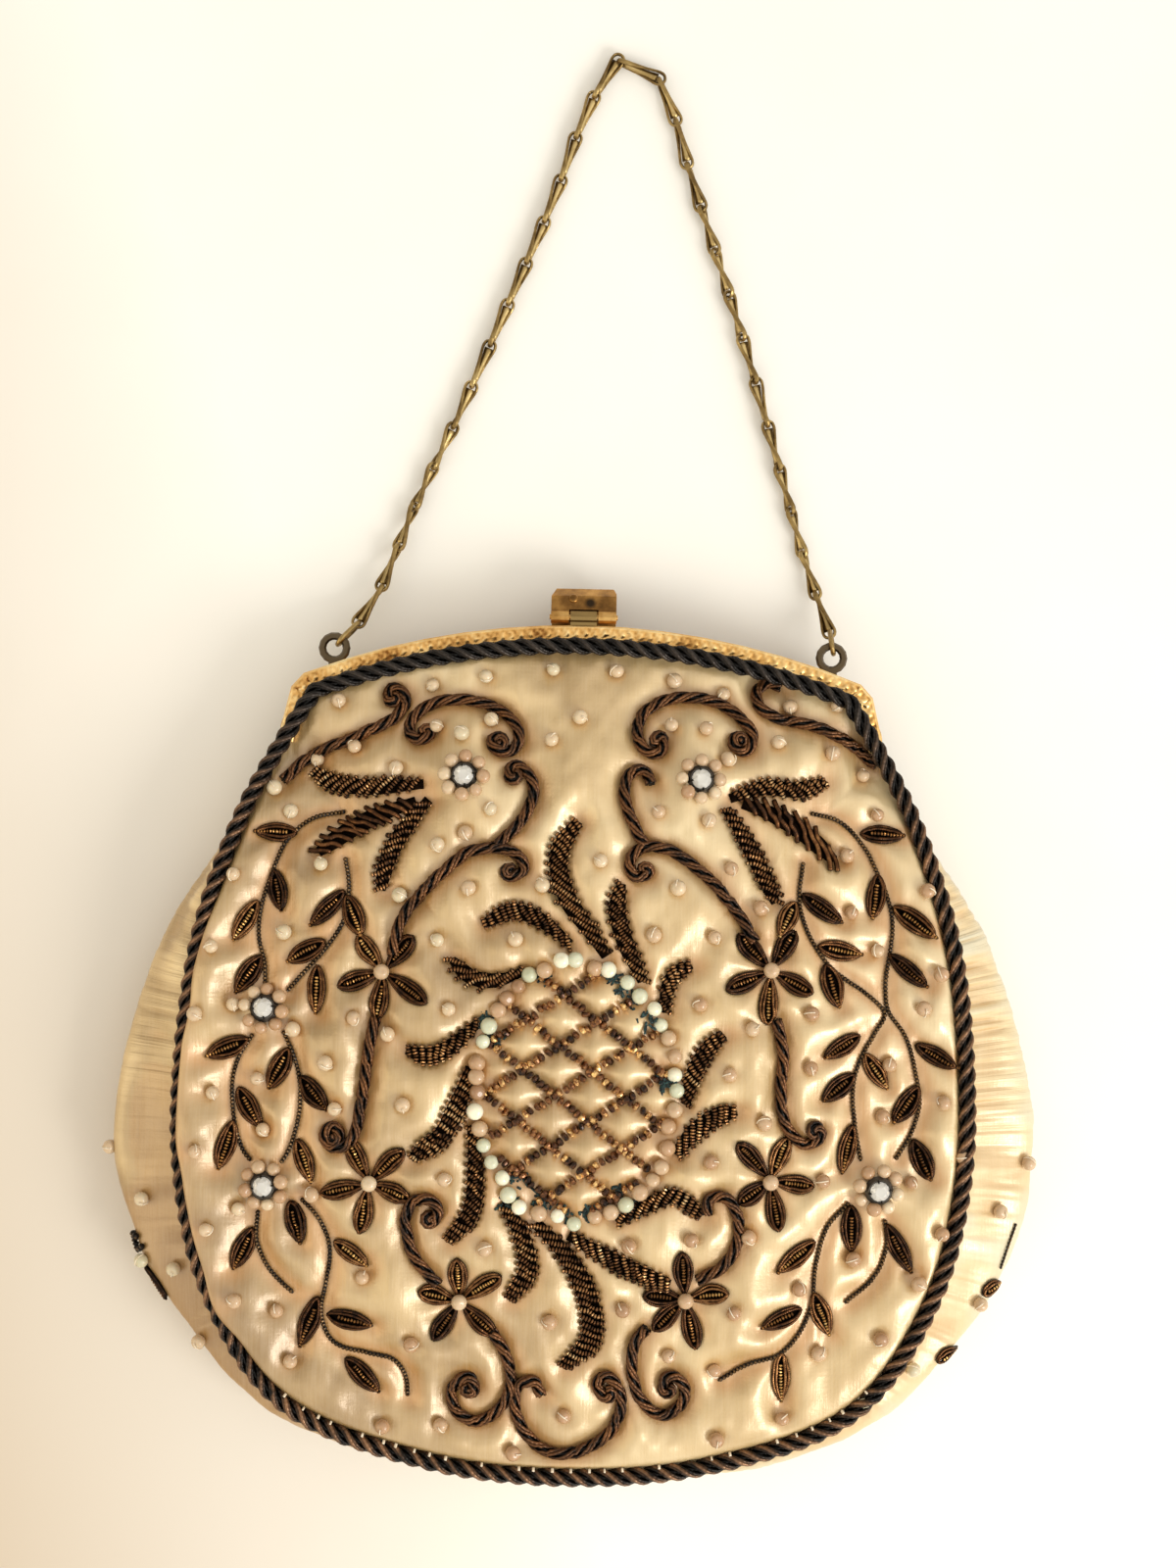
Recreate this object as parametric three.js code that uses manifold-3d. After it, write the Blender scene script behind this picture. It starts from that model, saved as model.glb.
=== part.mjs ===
// A beaded evening bag lying on its back: a satin pouch sewn to a gilt hinged frame, with a flap clasp and a chain.
// Millimetres. +Z points up out of the front panel, +Y runs from the pouch to the frame and the chain, and the
// origin is the middle of the flattened back, where the bag rests.
import * as THREE from "three";
import { mergeVertices } from "three/addons/utils/BufferGeometryUtils.js";
import Module from "manifold-3d";

const wasm = await Module();
wasm.setup();

const CLEARANCE = 0.3; // between pieces that touch on the real bag
const QUARTER = Math.PI / 2;

// The pouch. Rows run down one side, from the end of the frame's leg to the bottom.
// half is the distance from the middle to the front panel's edge, frontZ and backZ are the heights of the front
// panel's top and the back panel's underside at that edge, and bulge is how far the gusset swells beyond it.
const SECTIONS = [
  { y: 61.0, half: 60.6, frontZ: 15.4, backZ: 8.6, bulge: 0 },
  { y: 54.9, half: 64.2, frontZ: 17.0, backZ: 7.0, bulge: 0 },
  { y: 45.0, half: 68.6, frontZ: 19.0, backZ: 5.4, bulge: 0.8 },
  { y: 23.4, half: 75.3, frontZ: 21.4, backZ: 4.2, bulge: 7.5 },
  { y: -4.2, half: 78.5, frontZ: 22.0, backZ: 4.2, bulge: 13.5 },
  { y: -25.0, half: 78.0, frontZ: 22.0, backZ: 4.2, bulge: 15.2 },
  { y: -47.5, half: 72.6, frontZ: 21.4, backZ: 4.2, bulge: 11.5 },
  { y: -70.2, half: 57.6, frontZ: 20.4, backZ: 4.4, bulge: 6.5 },
  { y: -81.6, half: 29.5, frontZ: 19.6, backZ: 4.8, bulge: 4.0 },
  { y: -84.8, half: 0, frontZ: 19.4, backZ: 5.0, bulge: 2.8 },
];
const STATION_STEP = 12; // spacing of the cuts along the seams
const PANEL_WALL = 1.6; // satin, interlining and lining together
const GUSSET_WALL = 1.4;
const GUSSET_CUTS = 6; // cuts across the gusset, from seam to seam
const HEM = 2.6; // flat border of a panel, under the frame and the cord
const CROWN_Z = 31; // highest point of the front panel
const CROWN_POWER = 2.5; // how flat the middle of the front panel is
const FRONT_SHARES = [1, 0.86, 0.66, 0.42, 0.15]; // rings of the front panel, as shares of its reach
const BACK_SHARES = [1, 0.9, 0.8, 0.7, 0.25]; // the same for the back panel
const REST_SHARE = 0.7; // part of the back panel that lies flat

// The frame
const FRAME_TOP_Y = 87.3;
const ARCH_RADIUS = 154;
const CORNER_X = 59;
const LEG_END = { x: 62, y: 62.9 };
const CORNER_BLUNT = 2.0; // each corner is cut back by this much along both edges
const ARCH_STEPS = 14;
const PANEL_ARCH_STEPS = 10;
const FRAME_MID_Z = 12;
const HALF_DEPTH = 4.6;
const FACE_WIDTH = 3.2;
const METAL = 0.9;
const NEST = 1.2; // the back channel is this much smaller, so that the front ears lie outside it
const EAR_RADIUS = 2.2;
const EAR_UP_LEG = 3.2; // from the leg's end to the rivet
const RIVET_Z = 9.7;
const RIVET_RADIUS = 0.7;
const RIVET_HEAD = 1.3;

// The edge cords
const CORD_RADIUS = 1.8;
const CORD_INSET = 4.9; // from the frame's outer edge to the middle of the cord below it
const CORD_OUT = 0.5; // from the panel's edge to the middle of the cord round the pouch
const CORD_FREE_Y = 57; // below this height the cord follows the seam

// The clasp. PROFILE rows follow the flap from its hinge over the frame and down behind it, measured from the axis.
const CLASP_AXIS = { y: FRAME_TOP_Y + 1.75, z: 14.4 };
const KNUCKLE_RADIUS = 1.35;
const KNUCKLE_HALF = 2.7;
const FLAP_HALF = 6.7;
const FLAP_THICKNESS = 0.9;
const PIN_RADIUS = 0.55;
const PIN_HOLE = 0.8;
const PROFILE = [
  { y: 0.6, z: -0.3 },
  { y: 4.2, z: -1.7 },
  { y: 5.7, z: -3.9 },
  { y: 5.9, z: -6.2 },
  { y: 4.4, z: -8.2 },
  { y: 0.6, z: -9.0 },
  { y: -3.4, z: -8.8 },
];
// Outline of the flap from the front: one upper corner is cut off and the other is rounded.
const FLAP_OUTLINE = [
  { x: -6.7, y: -6 },
  { x: 6.7, y: -6 },
  { x: 6.7, y: 5.0 },
  { x: 6.2, y: 6.0 },
  { x: 5.0, y: 7.0 },
  { x: -5.2, y: 7.0 },
  { x: -6.7, y: 4.4 },
];

// Frame rings and jump rings
const RING = { x: 51.5, y: 82.0, z: 9.6, radius: 2.5, wire: 0.8 };
const JUMP_RADIUS = 1.8;
const JUMP_WIRE = 0.6;
const JUMP_ROLL = { left: 0, right: -15 };

// The chain. Each link is a flattened wire loop with a quarter turn between its two ends.
const LINKS_A_SIDE = 14;
const LINK_LOOP = 1.4; // radius of an end loop, to the middle of the wire
const LINK_THICK = 0.8;
const LINK_WIDE = 1.2;
const LINK_PINCH = 0.38; // share by which the two strands close in at mid length
const LINK_STRAND_CUTS = 3;
const LINK_OVERLAP = 1.4; // how far one link's end reaches into the next
const LINK_PITCH = 9.5;
const FLOOR_Z = 1.75; // height of the chain's middle where it lies down
// Route of the chain, as heights and places where it lies, from the left ring to the bend and down to the right ring.
const ROUTE_LEFT = [
  { x: -47.6, y: 86.6, z: 7.0 },
  { x: -42.8, y: 94.6, z: 4.6 },
  { x: -36.2, y: 112.6, z: FLOOR_Z },
  { x: -28.1, y: 130.1, z: FLOOR_Z },
  { x: -17.0, y: 156.5, z: FLOOR_Z },
  { x: -7.4, y: 180.0, z: FLOOR_Z },
  { x: -0.6, y: 199.6, z: FLOOR_Z },
  { x: 6.6, y: 210.6, z: FLOOR_Z },
];
const ROUTE_RIGHT = [
  { x: 6.6, y: 210.6, z: FLOOR_Z },
  { x: 14.2, y: 202.5, z: FLOOR_Z },
  { x: 19.8, y: 185.8, z: FLOOR_Z },
  { x: 29.2, y: 158.4, z: FLOOR_Z },
  { x: 35.3, y: 139.8, z: FLOOR_Z },
  { x: 40.9, y: 120.9, z: FLOOR_Z },
  { x: 46.7, y: 101.4, z: FLOOR_Z },
  { x: 49.0, y: 94.6, z: 3.4 },
  { x: 51.0, y: 88.4, z: 5.8 },
];
// Roll of the links about the chain, in degrees, between the link numbers named.
const ROLLS = [
  { link: 1, roll: 90 },
  { link: 7, roll: 0 },
  { link: 17, roll: 0 },
  { link: 23, roll: 90 },
  { link: 28, roll: 15 },
];

// Crystal stones on the front panel
const STONES = [
  { x: -23.1, y: 55.8 },
  { x: 24.0, y: 56.0 },
  { x: -61.9, y: 8.7 },
  { x: -61.3, y: -26.6 },
  { x: 61.0, y: -24.9 },
];
const STONE_FACETS = 8;
const STONE_PROFILE = [
  { r: 0, z: 0.7 },
  { r: 1.95, z: 0.9 },
  { r: 2.0, z: 1.3 },
  { r: 1.1, z: 2.3 },
  { r: 0, z: 2.3 },
];
const SETTING_PROFILE = [
  { r: 0, z: 0 },
  { r: 2.0, z: 0 },
  { r: 2.3, z: 0.5 },
  { r: 2.3, z: 1.3 },
  { r: 1.6, z: 1.3 },
  { r: 0, z: 1.0 },
];

// Materials
const satin = new THREE.MeshStandardMaterial({ name: "satin", color: 0xdcc6a0, roughness: 0.45 });
const cord = new THREE.MeshStandardMaterial({ name: "metal_cord", color: 0x3a2819, roughness: 0.6 });
const gilt = new THREE.MeshStandardMaterial({ name: "gilt_brass", color: 0xc08f4e, metalness: 1, roughness: 0.4 });
const brass = new THREE.MeshStandardMaterial({ name: "chain_brass", color: 0x7a6438, metalness: 1, roughness: 0.45 });
const crystal = new THREE.MeshStandardMaterial({ name: "crystal", color: 0xe8e4dc, roughness: 0.1 });

const bag = new THREE.Group();
bag.name = "beaded_bag";

function addPiece(name, geometry, material) {
  const mesh = new THREE.Mesh(geometry, material);
  mesh.name = name;
  bag.add(mesh);
}

// Solids
function signedVolume(geometry) {
  const place = geometry.attributes.position;
  const index = geometry.index;
  const a = new THREE.Vector3();
  const b = new THREE.Vector3();
  const c = new THREE.Vector3();
  let sum = 0;
  for (let i = 0; i < index.count; i += 3) {
    a.fromBufferAttribute(place, index.getX(i));
    b.fromBufferAttribute(place, index.getX(i + 1));
    c.fromBufferAttribute(place, index.getX(i + 2));
    sum += a.dot(b.cross(c));
  }
  return sum / 6;
}

function facingOut(geometry) {
  const bare = geometry.clone();
  bare.deleteAttribute("normal");
  bare.deleteAttribute("uv");
  const merged = mergeVertices(bare, 1e-4);
  if (signedVolume(merged) > 0) return merged;
  const index = merged.index.array;
  for (let i = 0; i < index.length; i += 3) [index[i], index[i + 1]] = [index[i + 1], index[i]];
  return merged;
}

function toSolid(geometry) {
  const ready = facingOut(geometry);
  const mesh = new wasm.Mesh({
    numProp: 3,
    vertProperties: new Float32Array(ready.attributes.position.array),
    triVerts: new Uint32Array(ready.index.array),
  });
  return new wasm.Manifold(mesh);
}

function toGeometry(solid) {
  const mesh = solid.getMesh();
  const geometry = new THREE.BufferGeometry();
  geometry.setAttribute("position", new THREE.BufferAttribute(new Float32Array(mesh.vertProperties), 3));
  geometry.setIndex(new THREE.BufferAttribute(new Uint32Array(mesh.triVerts), 1));
  return geometry;
}

function fused(geometries) {
  return geometries.map(toSolid).reduce((sum, next) => sum.add(next));
}

function mirrored(geometry) {
  return facingOut(geometry.clone().applyMatrix4(new THREE.Matrix4().makeScale(-1, 1, 1)));
}

// Triangles that close a ring of points, in the ring's own direction
function capTriangles(ring) {
  const normal = new THREE.Vector3();
  ring.forEach((point, i) => normal.add(point.clone().cross(ring[(i + 1) % ring.length])));
  normal.normalize();
  const across = new THREE.Vector3().subVectors(ring[1], ring[0]).normalize();
  const along = new THREE.Vector3().crossVectors(normal, across);
  const flat = ring.map((point) => new THREE.Vector2(point.dot(across), point.dot(along)));
  const faces = THREE.ShapeUtils.triangulateShape(flat, []);
  const turn = ([a, b, c]) => flat[b].clone().sub(flat[a]).cross(flat[c].clone().sub(flat[a]));
  return faces.map((face) => (turn(face) > 0 ? face : [face[0], face[2], face[1]]));
}

// A skin over a row of rings, closed into a loop or capped at both ends
function loft(rings, loop = false) {
  const size = rings[0].length;
  const index = [];
  const bands = loop ? rings.length : rings.length - 1;
  for (let i = 0; i < bands; i++) {
    const next = (i + 1) % rings.length;
    for (let j = 0; j < size; j++) {
      const k = (j + 1) % size;
      const [a, b] = [i * size + j, i * size + k];
      const [c, d] = [next * size + k, next * size + j];
      index.push(a, b, c, a, c, d);
    }
  }
  if (!loop) {
    const last = (rings.length - 1) * size;
    capTriangles(rings[0]).forEach(([a, b, c]) => index.push(a, c, b));
    capTriangles(rings[rings.length - 1]).forEach(([a, b, c]) => index.push(last + a, last + b, last + c));
  }
  const geometry = new THREE.BufferGeometry().setFromPoints(rings.flat());
  geometry.setIndex(index);
  return facingOut(geometry);
}

// Curves
function smooth(share) {
  const t = Math.min(1, Math.max(0, share));
  return t * t * (3 - 2 * t);
}

// An open path moved to its right-hand side by a distance, with mitred corners
function offsetPath(points, distance) {
  const sides = points.slice(1).map((point, i) => {
    const run = point.clone().sub(points[i]).normalize();
    return new THREE.Vector2(run.y, -run.x);
  });
  return points.map((point, i) => {
    const before = sides[Math.max(0, i - 1)];
    const after = sides[Math.min(sides.length - 1, i)];
    const middle = before.clone().add(after).normalize();
    return point.clone().addScaledVector(middle, distance / middle.dot(before));
  });
}

function archY(x) {
  return FRAME_TOP_Y - ARCH_RADIUS + Math.sqrt(ARCH_RADIUS ** 2 - x * x);
}

// Outer edge of the frame, from the left leg's end over the arch to the right leg's end
function frameEdge(steps) {
  const corner = new THREE.Vector2(CORNER_X, archY(CORNER_X));
  const end = new THREE.Vector2(LEG_END.x, LEG_END.y);
  const shoulder = corner.clone().addScaledVector(end.clone().sub(corner).normalize(), CORNER_BLUNT);
  const archEnd = CORNER_X - CORNER_BLUNT;
  const arch = [];
  for (let i = 0; i <= steps; i++) {
    const x = archEnd * ((2 * i) / steps - 1);
    arch.push(new THREE.Vector2(x, archY(x)));
  }
  const left = [end, shoulder].map((point) => new THREE.Vector2(-point.x, point.y));
  return [...left, ...arch, shoulder, end];
}

// Cuts along the seams, from the left leg round the bottom to the right leg
function seamStations() {
  const side = SECTIONS.slice(0, -1);
  const bottom = SECTIONS[SECTIONS.length - 1];
  const left = side.map((row) => ({ ...row, x: -row.half }));
  const right = side.map((row) => ({ ...row, x: row.half })).reverse();
  const rows = [...left, { ...bottom, x: 0 }, ...right];
  const edge = new THREE.CatmullRomCurve3(rows.map((row) => new THREE.Vector3(row.x, row.y, row.frontZ)));
  const swell = new THREE.CatmullRomCurve3(rows.map((row) => new THREE.Vector3(row.bulge, row.backZ, 0)));
  const shares = [];
  for (let i = 0; i < rows.length - 1; i++) {
    const gap = Math.hypot(rows[i + 1].x - rows[i].x, rows[i + 1].y - rows[i].y);
    const cuts = Math.max(1, Math.round(gap / STATION_STEP));
    for (let k = 0; k < cuts; k++) shares.push((i + k / cuts) / (rows.length - 1));
  }
  shares.push(1);
  return shares.map((share) => {
    const point = edge.getPoint(share);
    const run = edge.getTangent(share);
    const swelling = swell.getPoint(share);
    const out = new THREE.Vector2(run.y, -run.x).normalize();
    const bulge = Math.max(0, swelling.x);
    return { x: point.x, y: point.y, frontZ: point.z, backZ: swelling.y, bulge, out };
  });
}
const STATIONS = seamStations();

// Closed edge of a panel: round the seam and back through the frame's channel
function panelEdge(inset, seamHeight, frameHeight) {
  const seam = STATIONS.map((cut) => new THREE.Vector3(cut.x, cut.y, seamHeight(cut)));
  const tucked = offsetPath(frameEdge(PANEL_ARCH_STEPS), inset).reverse();
  return [...seam, ...tucked.map((point) => new THREE.Vector3(point.x, point.y, frameHeight))];
}

// A panel is rings of its edge drawn in towards the middle, on both of its faces
function panel(edge, shares, height) {
  const hem = edge.map((point) => {
    const reach = Math.hypot(point.x, point.y);
    return new THREE.Vector3(point.x * (1 - HEM / reach), point.y * (1 - HEM / reach), point.z);
  });
  const inner = shares.map((share) =>
    hem.map((point) => new THREE.Vector3(point.x * share, point.y * share, height(point.z, share))),
  );
  return [edge, ...inner];
}

function raised(rings, lift) {
  return rings.map((ring) => ring.map((point) => new THREE.Vector3(point.x, point.y, point.z + lift)));
}

function crownHeight(edgeZ, share) {
  return edgeZ + (CROWN_Z - edgeZ) * (1 - share ** CROWN_POWER);
}

function restHeight(edgeZ, share) {
  return edgeZ * smooth((share - REST_SHARE) / (1 - REST_SHARE));
}

const FRAME_TOP_Z = FRAME_MID_Z + HALF_DEPTH;
const TUCK_Z = FRAME_TOP_Z - METAL - CLEARANCE; // top of the front panel inside the channel
const FRONT_EDGE = panelEdge(METAL + 0.4, (cut) => cut.frontZ, TUCK_Z);
const BACK_EDGE = panelEdge(NEST + METAL + 0.4, (cut) => cut.backZ, 2 * FRAME_MID_Z - TUCK_Z);

function frontPanel() {
  const top = panel(FRONT_EDGE, FRONT_SHARES, crownHeight);
  return loft([...top.slice().reverse(), ...raised(top, -PANEL_WALL)]);
}

function backPanel() {
  const under = panel(BACK_EDGE, BACK_SHARES, restHeight);
  return loft([...under.slice().reverse(), ...raised(under, PANEL_WALL)]);
}

// Height of the front panel's top at a place on it, read on the edge point that lies most nearly the same way
function frontHeight(x, y) {
  const way = new THREE.Vector2(x, y).normalize();
  const closeness = (point) => (point.x * way.x + point.y * way.y) / Math.hypot(point.x, point.y);
  const edge = FRONT_EDGE.reduce((best, point) => (closeness(point) > closeness(best) ? point : best));
  return crownHeight(edge.z, Math.hypot(x, y) / (Math.hypot(edge.x, edge.y) - HEM));
}

// The gusset swells out between the seams and is widest below its middle.
function gussetRing(cut) {
  const place = (share) => {
    const out = 0.4 + cut.bulge * Math.sin(Math.PI * share ** 1.25) ** 0.9;
    const z = THREE.MathUtils.lerp(cut.frontZ - 0.2, cut.backZ + 0.2, share);
    return new THREE.Vector2(out, z);
  };
  const inner = [];
  for (let k = 0; k <= GUSSET_CUTS; k++) inner.push(place(k / GUSSET_CUTS));
  const outer = offsetPath(inner, -GUSSET_WALL);
  for (const k of [0, GUSSET_CUTS]) outer[k].set(inner[k].x + GUSSET_WALL, inner[k].y);
  const outline = [...outer, ...inner.slice().reverse()];
  return outline.map((point) => new THREE.Vector3(cut.x + cut.out.x * point.x, cut.y + cut.out.y * point.x, point.y));
}

function gusset() {
  return loft(STATIONS.map(gussetRing));
}

// Round wire or cord along a closed row of points
function roundLoop(points, radius, sides) {
  const count = points.length;
  const tangents = points.map((point, i) =>
    points[(i + 1) % count].clone().sub(points[(i + count - 1) % count]).normalize(),
  );
  const up = new THREE.Vector3(0, 0, 1);
  const rings = points.map((point, i) => {
    const across = new THREE.Vector3().crossVectors(tangents[i], up).normalize();
    const above = new THREE.Vector3().crossVectors(across, tangents[i]);
    return Array.from({ length: sides }, (_, k) => {
      const angle = (2 * Math.PI * (k + 0.5)) / sides;
      return point
        .clone()
        .addScaledVector(across, radius * Math.cos(angle))
        .addScaledVector(above, radius * Math.sin(angle));
    });
  });
  return loft(rings, true);
}

function edgeCord(inset, frameHeight, seamHeight, count, sides) {
  const low = STATIONS.filter((cut) => cut.y < CORD_FREE_Y);
  const seam = low.map((cut) => {
    return new THREE.Vector3(cut.x + cut.out.x * CORD_OUT, cut.y + cut.out.y * CORD_OUT, seamHeight(cut));
  });
  const tucked = offsetPath(frameEdge(PANEL_ARCH_STEPS), inset).reverse();
  const top = tucked.filter((point) => point.y > LEG_END.y + 5);
  const route = [...seam, ...top.map((point) => new THREE.Vector3(point.x, point.y, frameHeight))];
  const curve = new THREE.CatmullRomCurve3(route, true);
  return roundLoop(curve.getSpacedPoints(count).slice(0, count), CORD_RADIUS, sides);
}

function frontCord() {
  const height = FRAME_TOP_Z + CLEARANCE + CORD_RADIUS;
  return edgeCord(CORD_INSET, height, (cut) => cut.frontZ + CLEARANCE + CORD_RADIUS, 48, 8);
}

function backCord() {
  const height = 2 * FRAME_MID_Z - FRAME_TOP_Z - CLEARANCE - CORD_RADIUS;
  return edgeCord(CORD_INSET + NEST, height, (cut) => cut.backZ - CLEARANCE - CORD_RADIUS, 40, 6);
}

// Frame channels
function channel(inset, toZ) {
  const section = [
    { inset: 0, z: CLEARANCE / 2 },
    { inset: METAL, z: CLEARANCE / 2 },
    { inset: METAL, z: HALF_DEPTH - METAL },
    { inset: FACE_WIDTH, z: HALF_DEPTH - METAL },
    { inset: FACE_WIDTH, z: HALF_DEPTH - 0.3 },
    { inset: FACE_WIDTH - 0.5, z: HALF_DEPTH },
    { inset: 0.6, z: HALF_DEPTH },
    { inset: 0, z: HALF_DEPTH - 0.6 },
  ];
  const rows = section.map((row) => {
    const path = offsetPath(frameEdge(ARCH_STEPS), inset + row.inset);
    return path.map((point) => new THREE.Vector3(point.x, point.y, toZ(row.z)));
  });
  return loft(rows[0].map((_, i) => rows.map((row) => row[i])));
}

// Directions of the right leg: up the leg, into the pouch, and the rivet's place on the outer edge
function legDirections() {
  const edge = frameEdge(ARCH_STEPS);
  const end = edge[edge.length - 1];
  const up = edge[edge.length - 2].clone().sub(end).normalize();
  const inward = new THREE.Vector2(-up.y, up.x);
  return { up, inward, place: end.clone().addScaledVector(up, EAR_UP_LEG) };
}
const LEG = legDirections();

function legTurn(inset) {
  const place = LEG.place.clone().addScaledVector(LEG.inward, inset);
  const turn = new THREE.Matrix4().makeBasis(
    new THREE.Vector3(LEG.up.x, LEG.up.y, 0),
    new THREE.Vector3(0, 0, 1),
    new THREE.Vector3(LEG.inward.x, LEG.inward.y, 0),
  );
  return turn.setPosition(place.x, place.y, RIVET_Z);
}

function hingeEar() {
  const shape = new THREE.Shape();
  const rise = FRAME_MID_Z + 1.5 - RIVET_Z;
  shape.moveTo(-EAR_RADIUS, rise);
  shape.lineTo(-EAR_RADIUS, 0);
  shape.absarc(0, 0, EAR_RADIUS, Math.PI, 2 * Math.PI);
  shape.lineTo(EAR_RADIUS, rise);
  shape.closePath();
  const ear = new THREE.ExtrudeGeometry(shape, { depth: METAL, bevelEnabled: false, curveSegments: 8 });
  return ear.applyMatrix4(legTurn(0));
}

// A cylinder across the leg, between two depths from the frame's outer edge
function acrossLeg(radius, from, to) {
  const bar = new THREE.CylinderGeometry(radius, radius, to - from, 12);
  bar.rotateX(QUARTER);
  bar.translate(0, 0, (from + to) / 2);
  return bar.applyMatrix4(legTurn(0));
}

function rivet() {
  const body = acrossLeg(RIVET_RADIUS, -0.7, NEST + METAL + 0.1);
  const head = acrossLeg(RIVET_HEAD, -0.8, -0.25);
  return toGeometry(fused([body, head]));
}

function rivetHoles() {
  const hole = acrossLeg(RIVET_RADIUS + 0.25, -1, NEST + METAL + 1);
  return fused([hole, mirrored(hole)]);
}

// A cylinder along the clasp's axis, between two places across the bag
function alongClasp(radius, from, to, sides = 12) {
  const bar = new THREE.CylinderGeometry(radius, radius, to - from, sides);
  bar.rotateZ(QUARTER);
  return bar.translate((from + to) / 2, CLASP_AXIS.y, CLASP_AXIS.z);
}

function frameFront() {
  const ear = hingeEar();
  const knuckle = alongClasp(KNUCKLE_RADIUS, -KNUCKLE_HALF, KNUCKLE_HALF);
  const stem = new THREE.BoxGeometry(2 * KNUCKLE_HALF, CLASP_AXIS.y - FRAME_TOP_Y + 0.6, 1.6);
  stem.translate(0, (CLASP_AXIS.y + FRAME_TOP_Y - 0.6) / 2, CLASP_AXIS.z);
  const body = fused([channel(0, (z) => FRAME_MID_Z + z), ear, mirrored(ear), knuckle, stem]);
  const pinHole = toSolid(alongClasp(PIN_HOLE, -KNUCKLE_HALF - 1, KNUCKLE_HALF + 1));
  return toGeometry(body.subtract(pinHole).subtract(rivetHoles()));
}

function frameRing() {
  const ring = new THREE.TorusGeometry(RING.radius, RING.wire, 6, 14);
  return ring.translate(RING.x, RING.y, RING.z);
}

function ringPost() {
  const foot = archY(RING.x) - NEST - 0.7;
  const head = RING.y - RING.radius + 0.2;
  const post = new THREE.BoxGeometry(2.2, head - foot, 1.5);
  return post.translate(RING.x, (head + foot) / 2, RING.z);
}

function catchStud() {
  const stud = new THREE.CylinderGeometry(0.9, 0.6, 1.2, 12);
  stud.rotateX(QUARTER);
  return stud.translate(0, FRAME_TOP_Y - NEST - 1.7, FRAME_MID_Z - HALF_DEPTH - 0.3);
}

function frameBack() {
  const shell = channel(NEST, (z) => FRAME_MID_Z - z);
  const fittings = [frameRing(), mirrored(frameRing()), ringPost(), mirrored(ringPost()), catchStud()];
  return toGeometry(fused([shell, ...fittings]).subtract(rivetHoles()));
}

// Clasp flap
function claspFlap() {
  const middle = PROFILE.map((row) => new THREE.Vector2(row.y, row.z));
  const ribbon = [...offsetPath(middle, FLAP_THICKNESS / 2), ...offsetPath(middle, -FLAP_THICKNESS / 2).reverse()];
  const plate = new THREE.ExtrudeGeometry(new THREE.Shape(ribbon), { depth: 2 * FLAP_HALF, bevelEnabled: false });
  const turn = new THREE.Matrix4().makeBasis(
    new THREE.Vector3(0, 1, 0),
    new THREE.Vector3(0, 0, 1),
    new THREE.Vector3(1, 0, 0),
  );
  plate.applyMatrix4(turn.setPosition(-FLAP_HALF, CLASP_AXIS.y, CLASP_AXIS.z));
  const outline = new THREE.Shape(FLAP_OUTLINE.map((row) => new THREE.Vector2(row.x, row.y)));
  const front = new THREE.ExtrudeGeometry(outline, { depth: 20, bevelEnabled: false });
  front.translate(0, CLASP_AXIS.y, CLASP_AXIS.z - 15);
  const trimmed = toSolid(plate).intersect(toSolid(front));
  const notch = alongClasp(KNUCKLE_RADIUS + 0.35, -KNUCKLE_HALF - CLEARANCE, KNUCKLE_HALF + CLEARANCE);
  const knuckle = alongClasp(KNUCKLE_RADIUS, KNUCKLE_HALF + CLEARANCE, FLAP_HALF);
  const hole = alongClasp(PIN_HOLE, -FLAP_HALF - 1, FLAP_HALF + 1);
  const hinged = trimmed.add(fused([knuckle, mirrored(knuckle)]));
  return toGeometry(hinged.subtract(toSolid(notch)).subtract(toSolid(hole)));
}

function claspPin() {
  return alongClasp(PIN_RADIUS, -FLAP_HALF - 0.3, FLAP_HALF + 0.3, 12);
}

// The chain
function routePoints(rows) {
  const curve = new THREE.CatmullRomCurve3(rows.map((row) => new THREE.Vector3(row.x, row.y, row.z)));
  return curve.getSpacedPoints(LINKS_A_SIDE);
}

function rollOf(number) {
  const after = ROLLS.findIndex((row) => row.link >= number);
  const next = ROLLS[after];
  if (next.link === number) return next.roll;
  const last = ROLLS[after - 1];
  return THREE.MathUtils.mapLinear(number, last.link, next.link, last.roll, next.roll);
}

const LINK_REACH = LINK_PITCH + LINK_OVERLAP; // between the middles of the wire at the two ends

// Points round a link with the way out of its loop at each: a standing end loop, a strand that turns a quarter, a
// lying end loop, and a strand back.
function linkPath() {
  const path = [];
  const add = (x, y, z, outX, outY, outZ) => {
    path.push({ place: new THREE.Vector3(x, y, z), out: new THREE.Vector3(outX, outY, outZ) });
  };
  const strand = (share, side) => {
    const angle = QUARTER * (1 - smooth(share));
    const radius = LINK_LOOP * (1 - LINK_PINCH * Math.sin(Math.PI * share));
    const x = LINK_LOOP + share * (LINK_REACH - 2 * LINK_LOOP);
    const [y, z] = [side * Math.cos(angle), side * Math.sin(angle)];
    add(x, radius * y, radius * z, 0, y, z);
  };
  for (let k = -2; k <= 2; k++) {
    const [c, s] = [Math.cos((k * Math.PI) / 4), Math.sin((k * Math.PI) / 4)];
    add(LINK_LOOP * (1 - c), 0, LINK_LOOP * s, -c, 0, s);
  }
  for (let k = 1; k < LINK_STRAND_CUTS; k++) strand(k / LINK_STRAND_CUTS, 1);
  for (let k = 2; k >= -2; k--) {
    const [c, s] = [Math.cos((k * Math.PI) / 4), Math.sin((k * Math.PI) / 4)];
    add(LINK_REACH - LINK_LOOP * (1 - c), LINK_LOOP * s, 0, c, s, 0);
  }
  for (let k = LINK_STRAND_CUTS - 1; k > 0; k--) strand(k / LINK_STRAND_CUTS, -1);
  return path;
}

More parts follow.
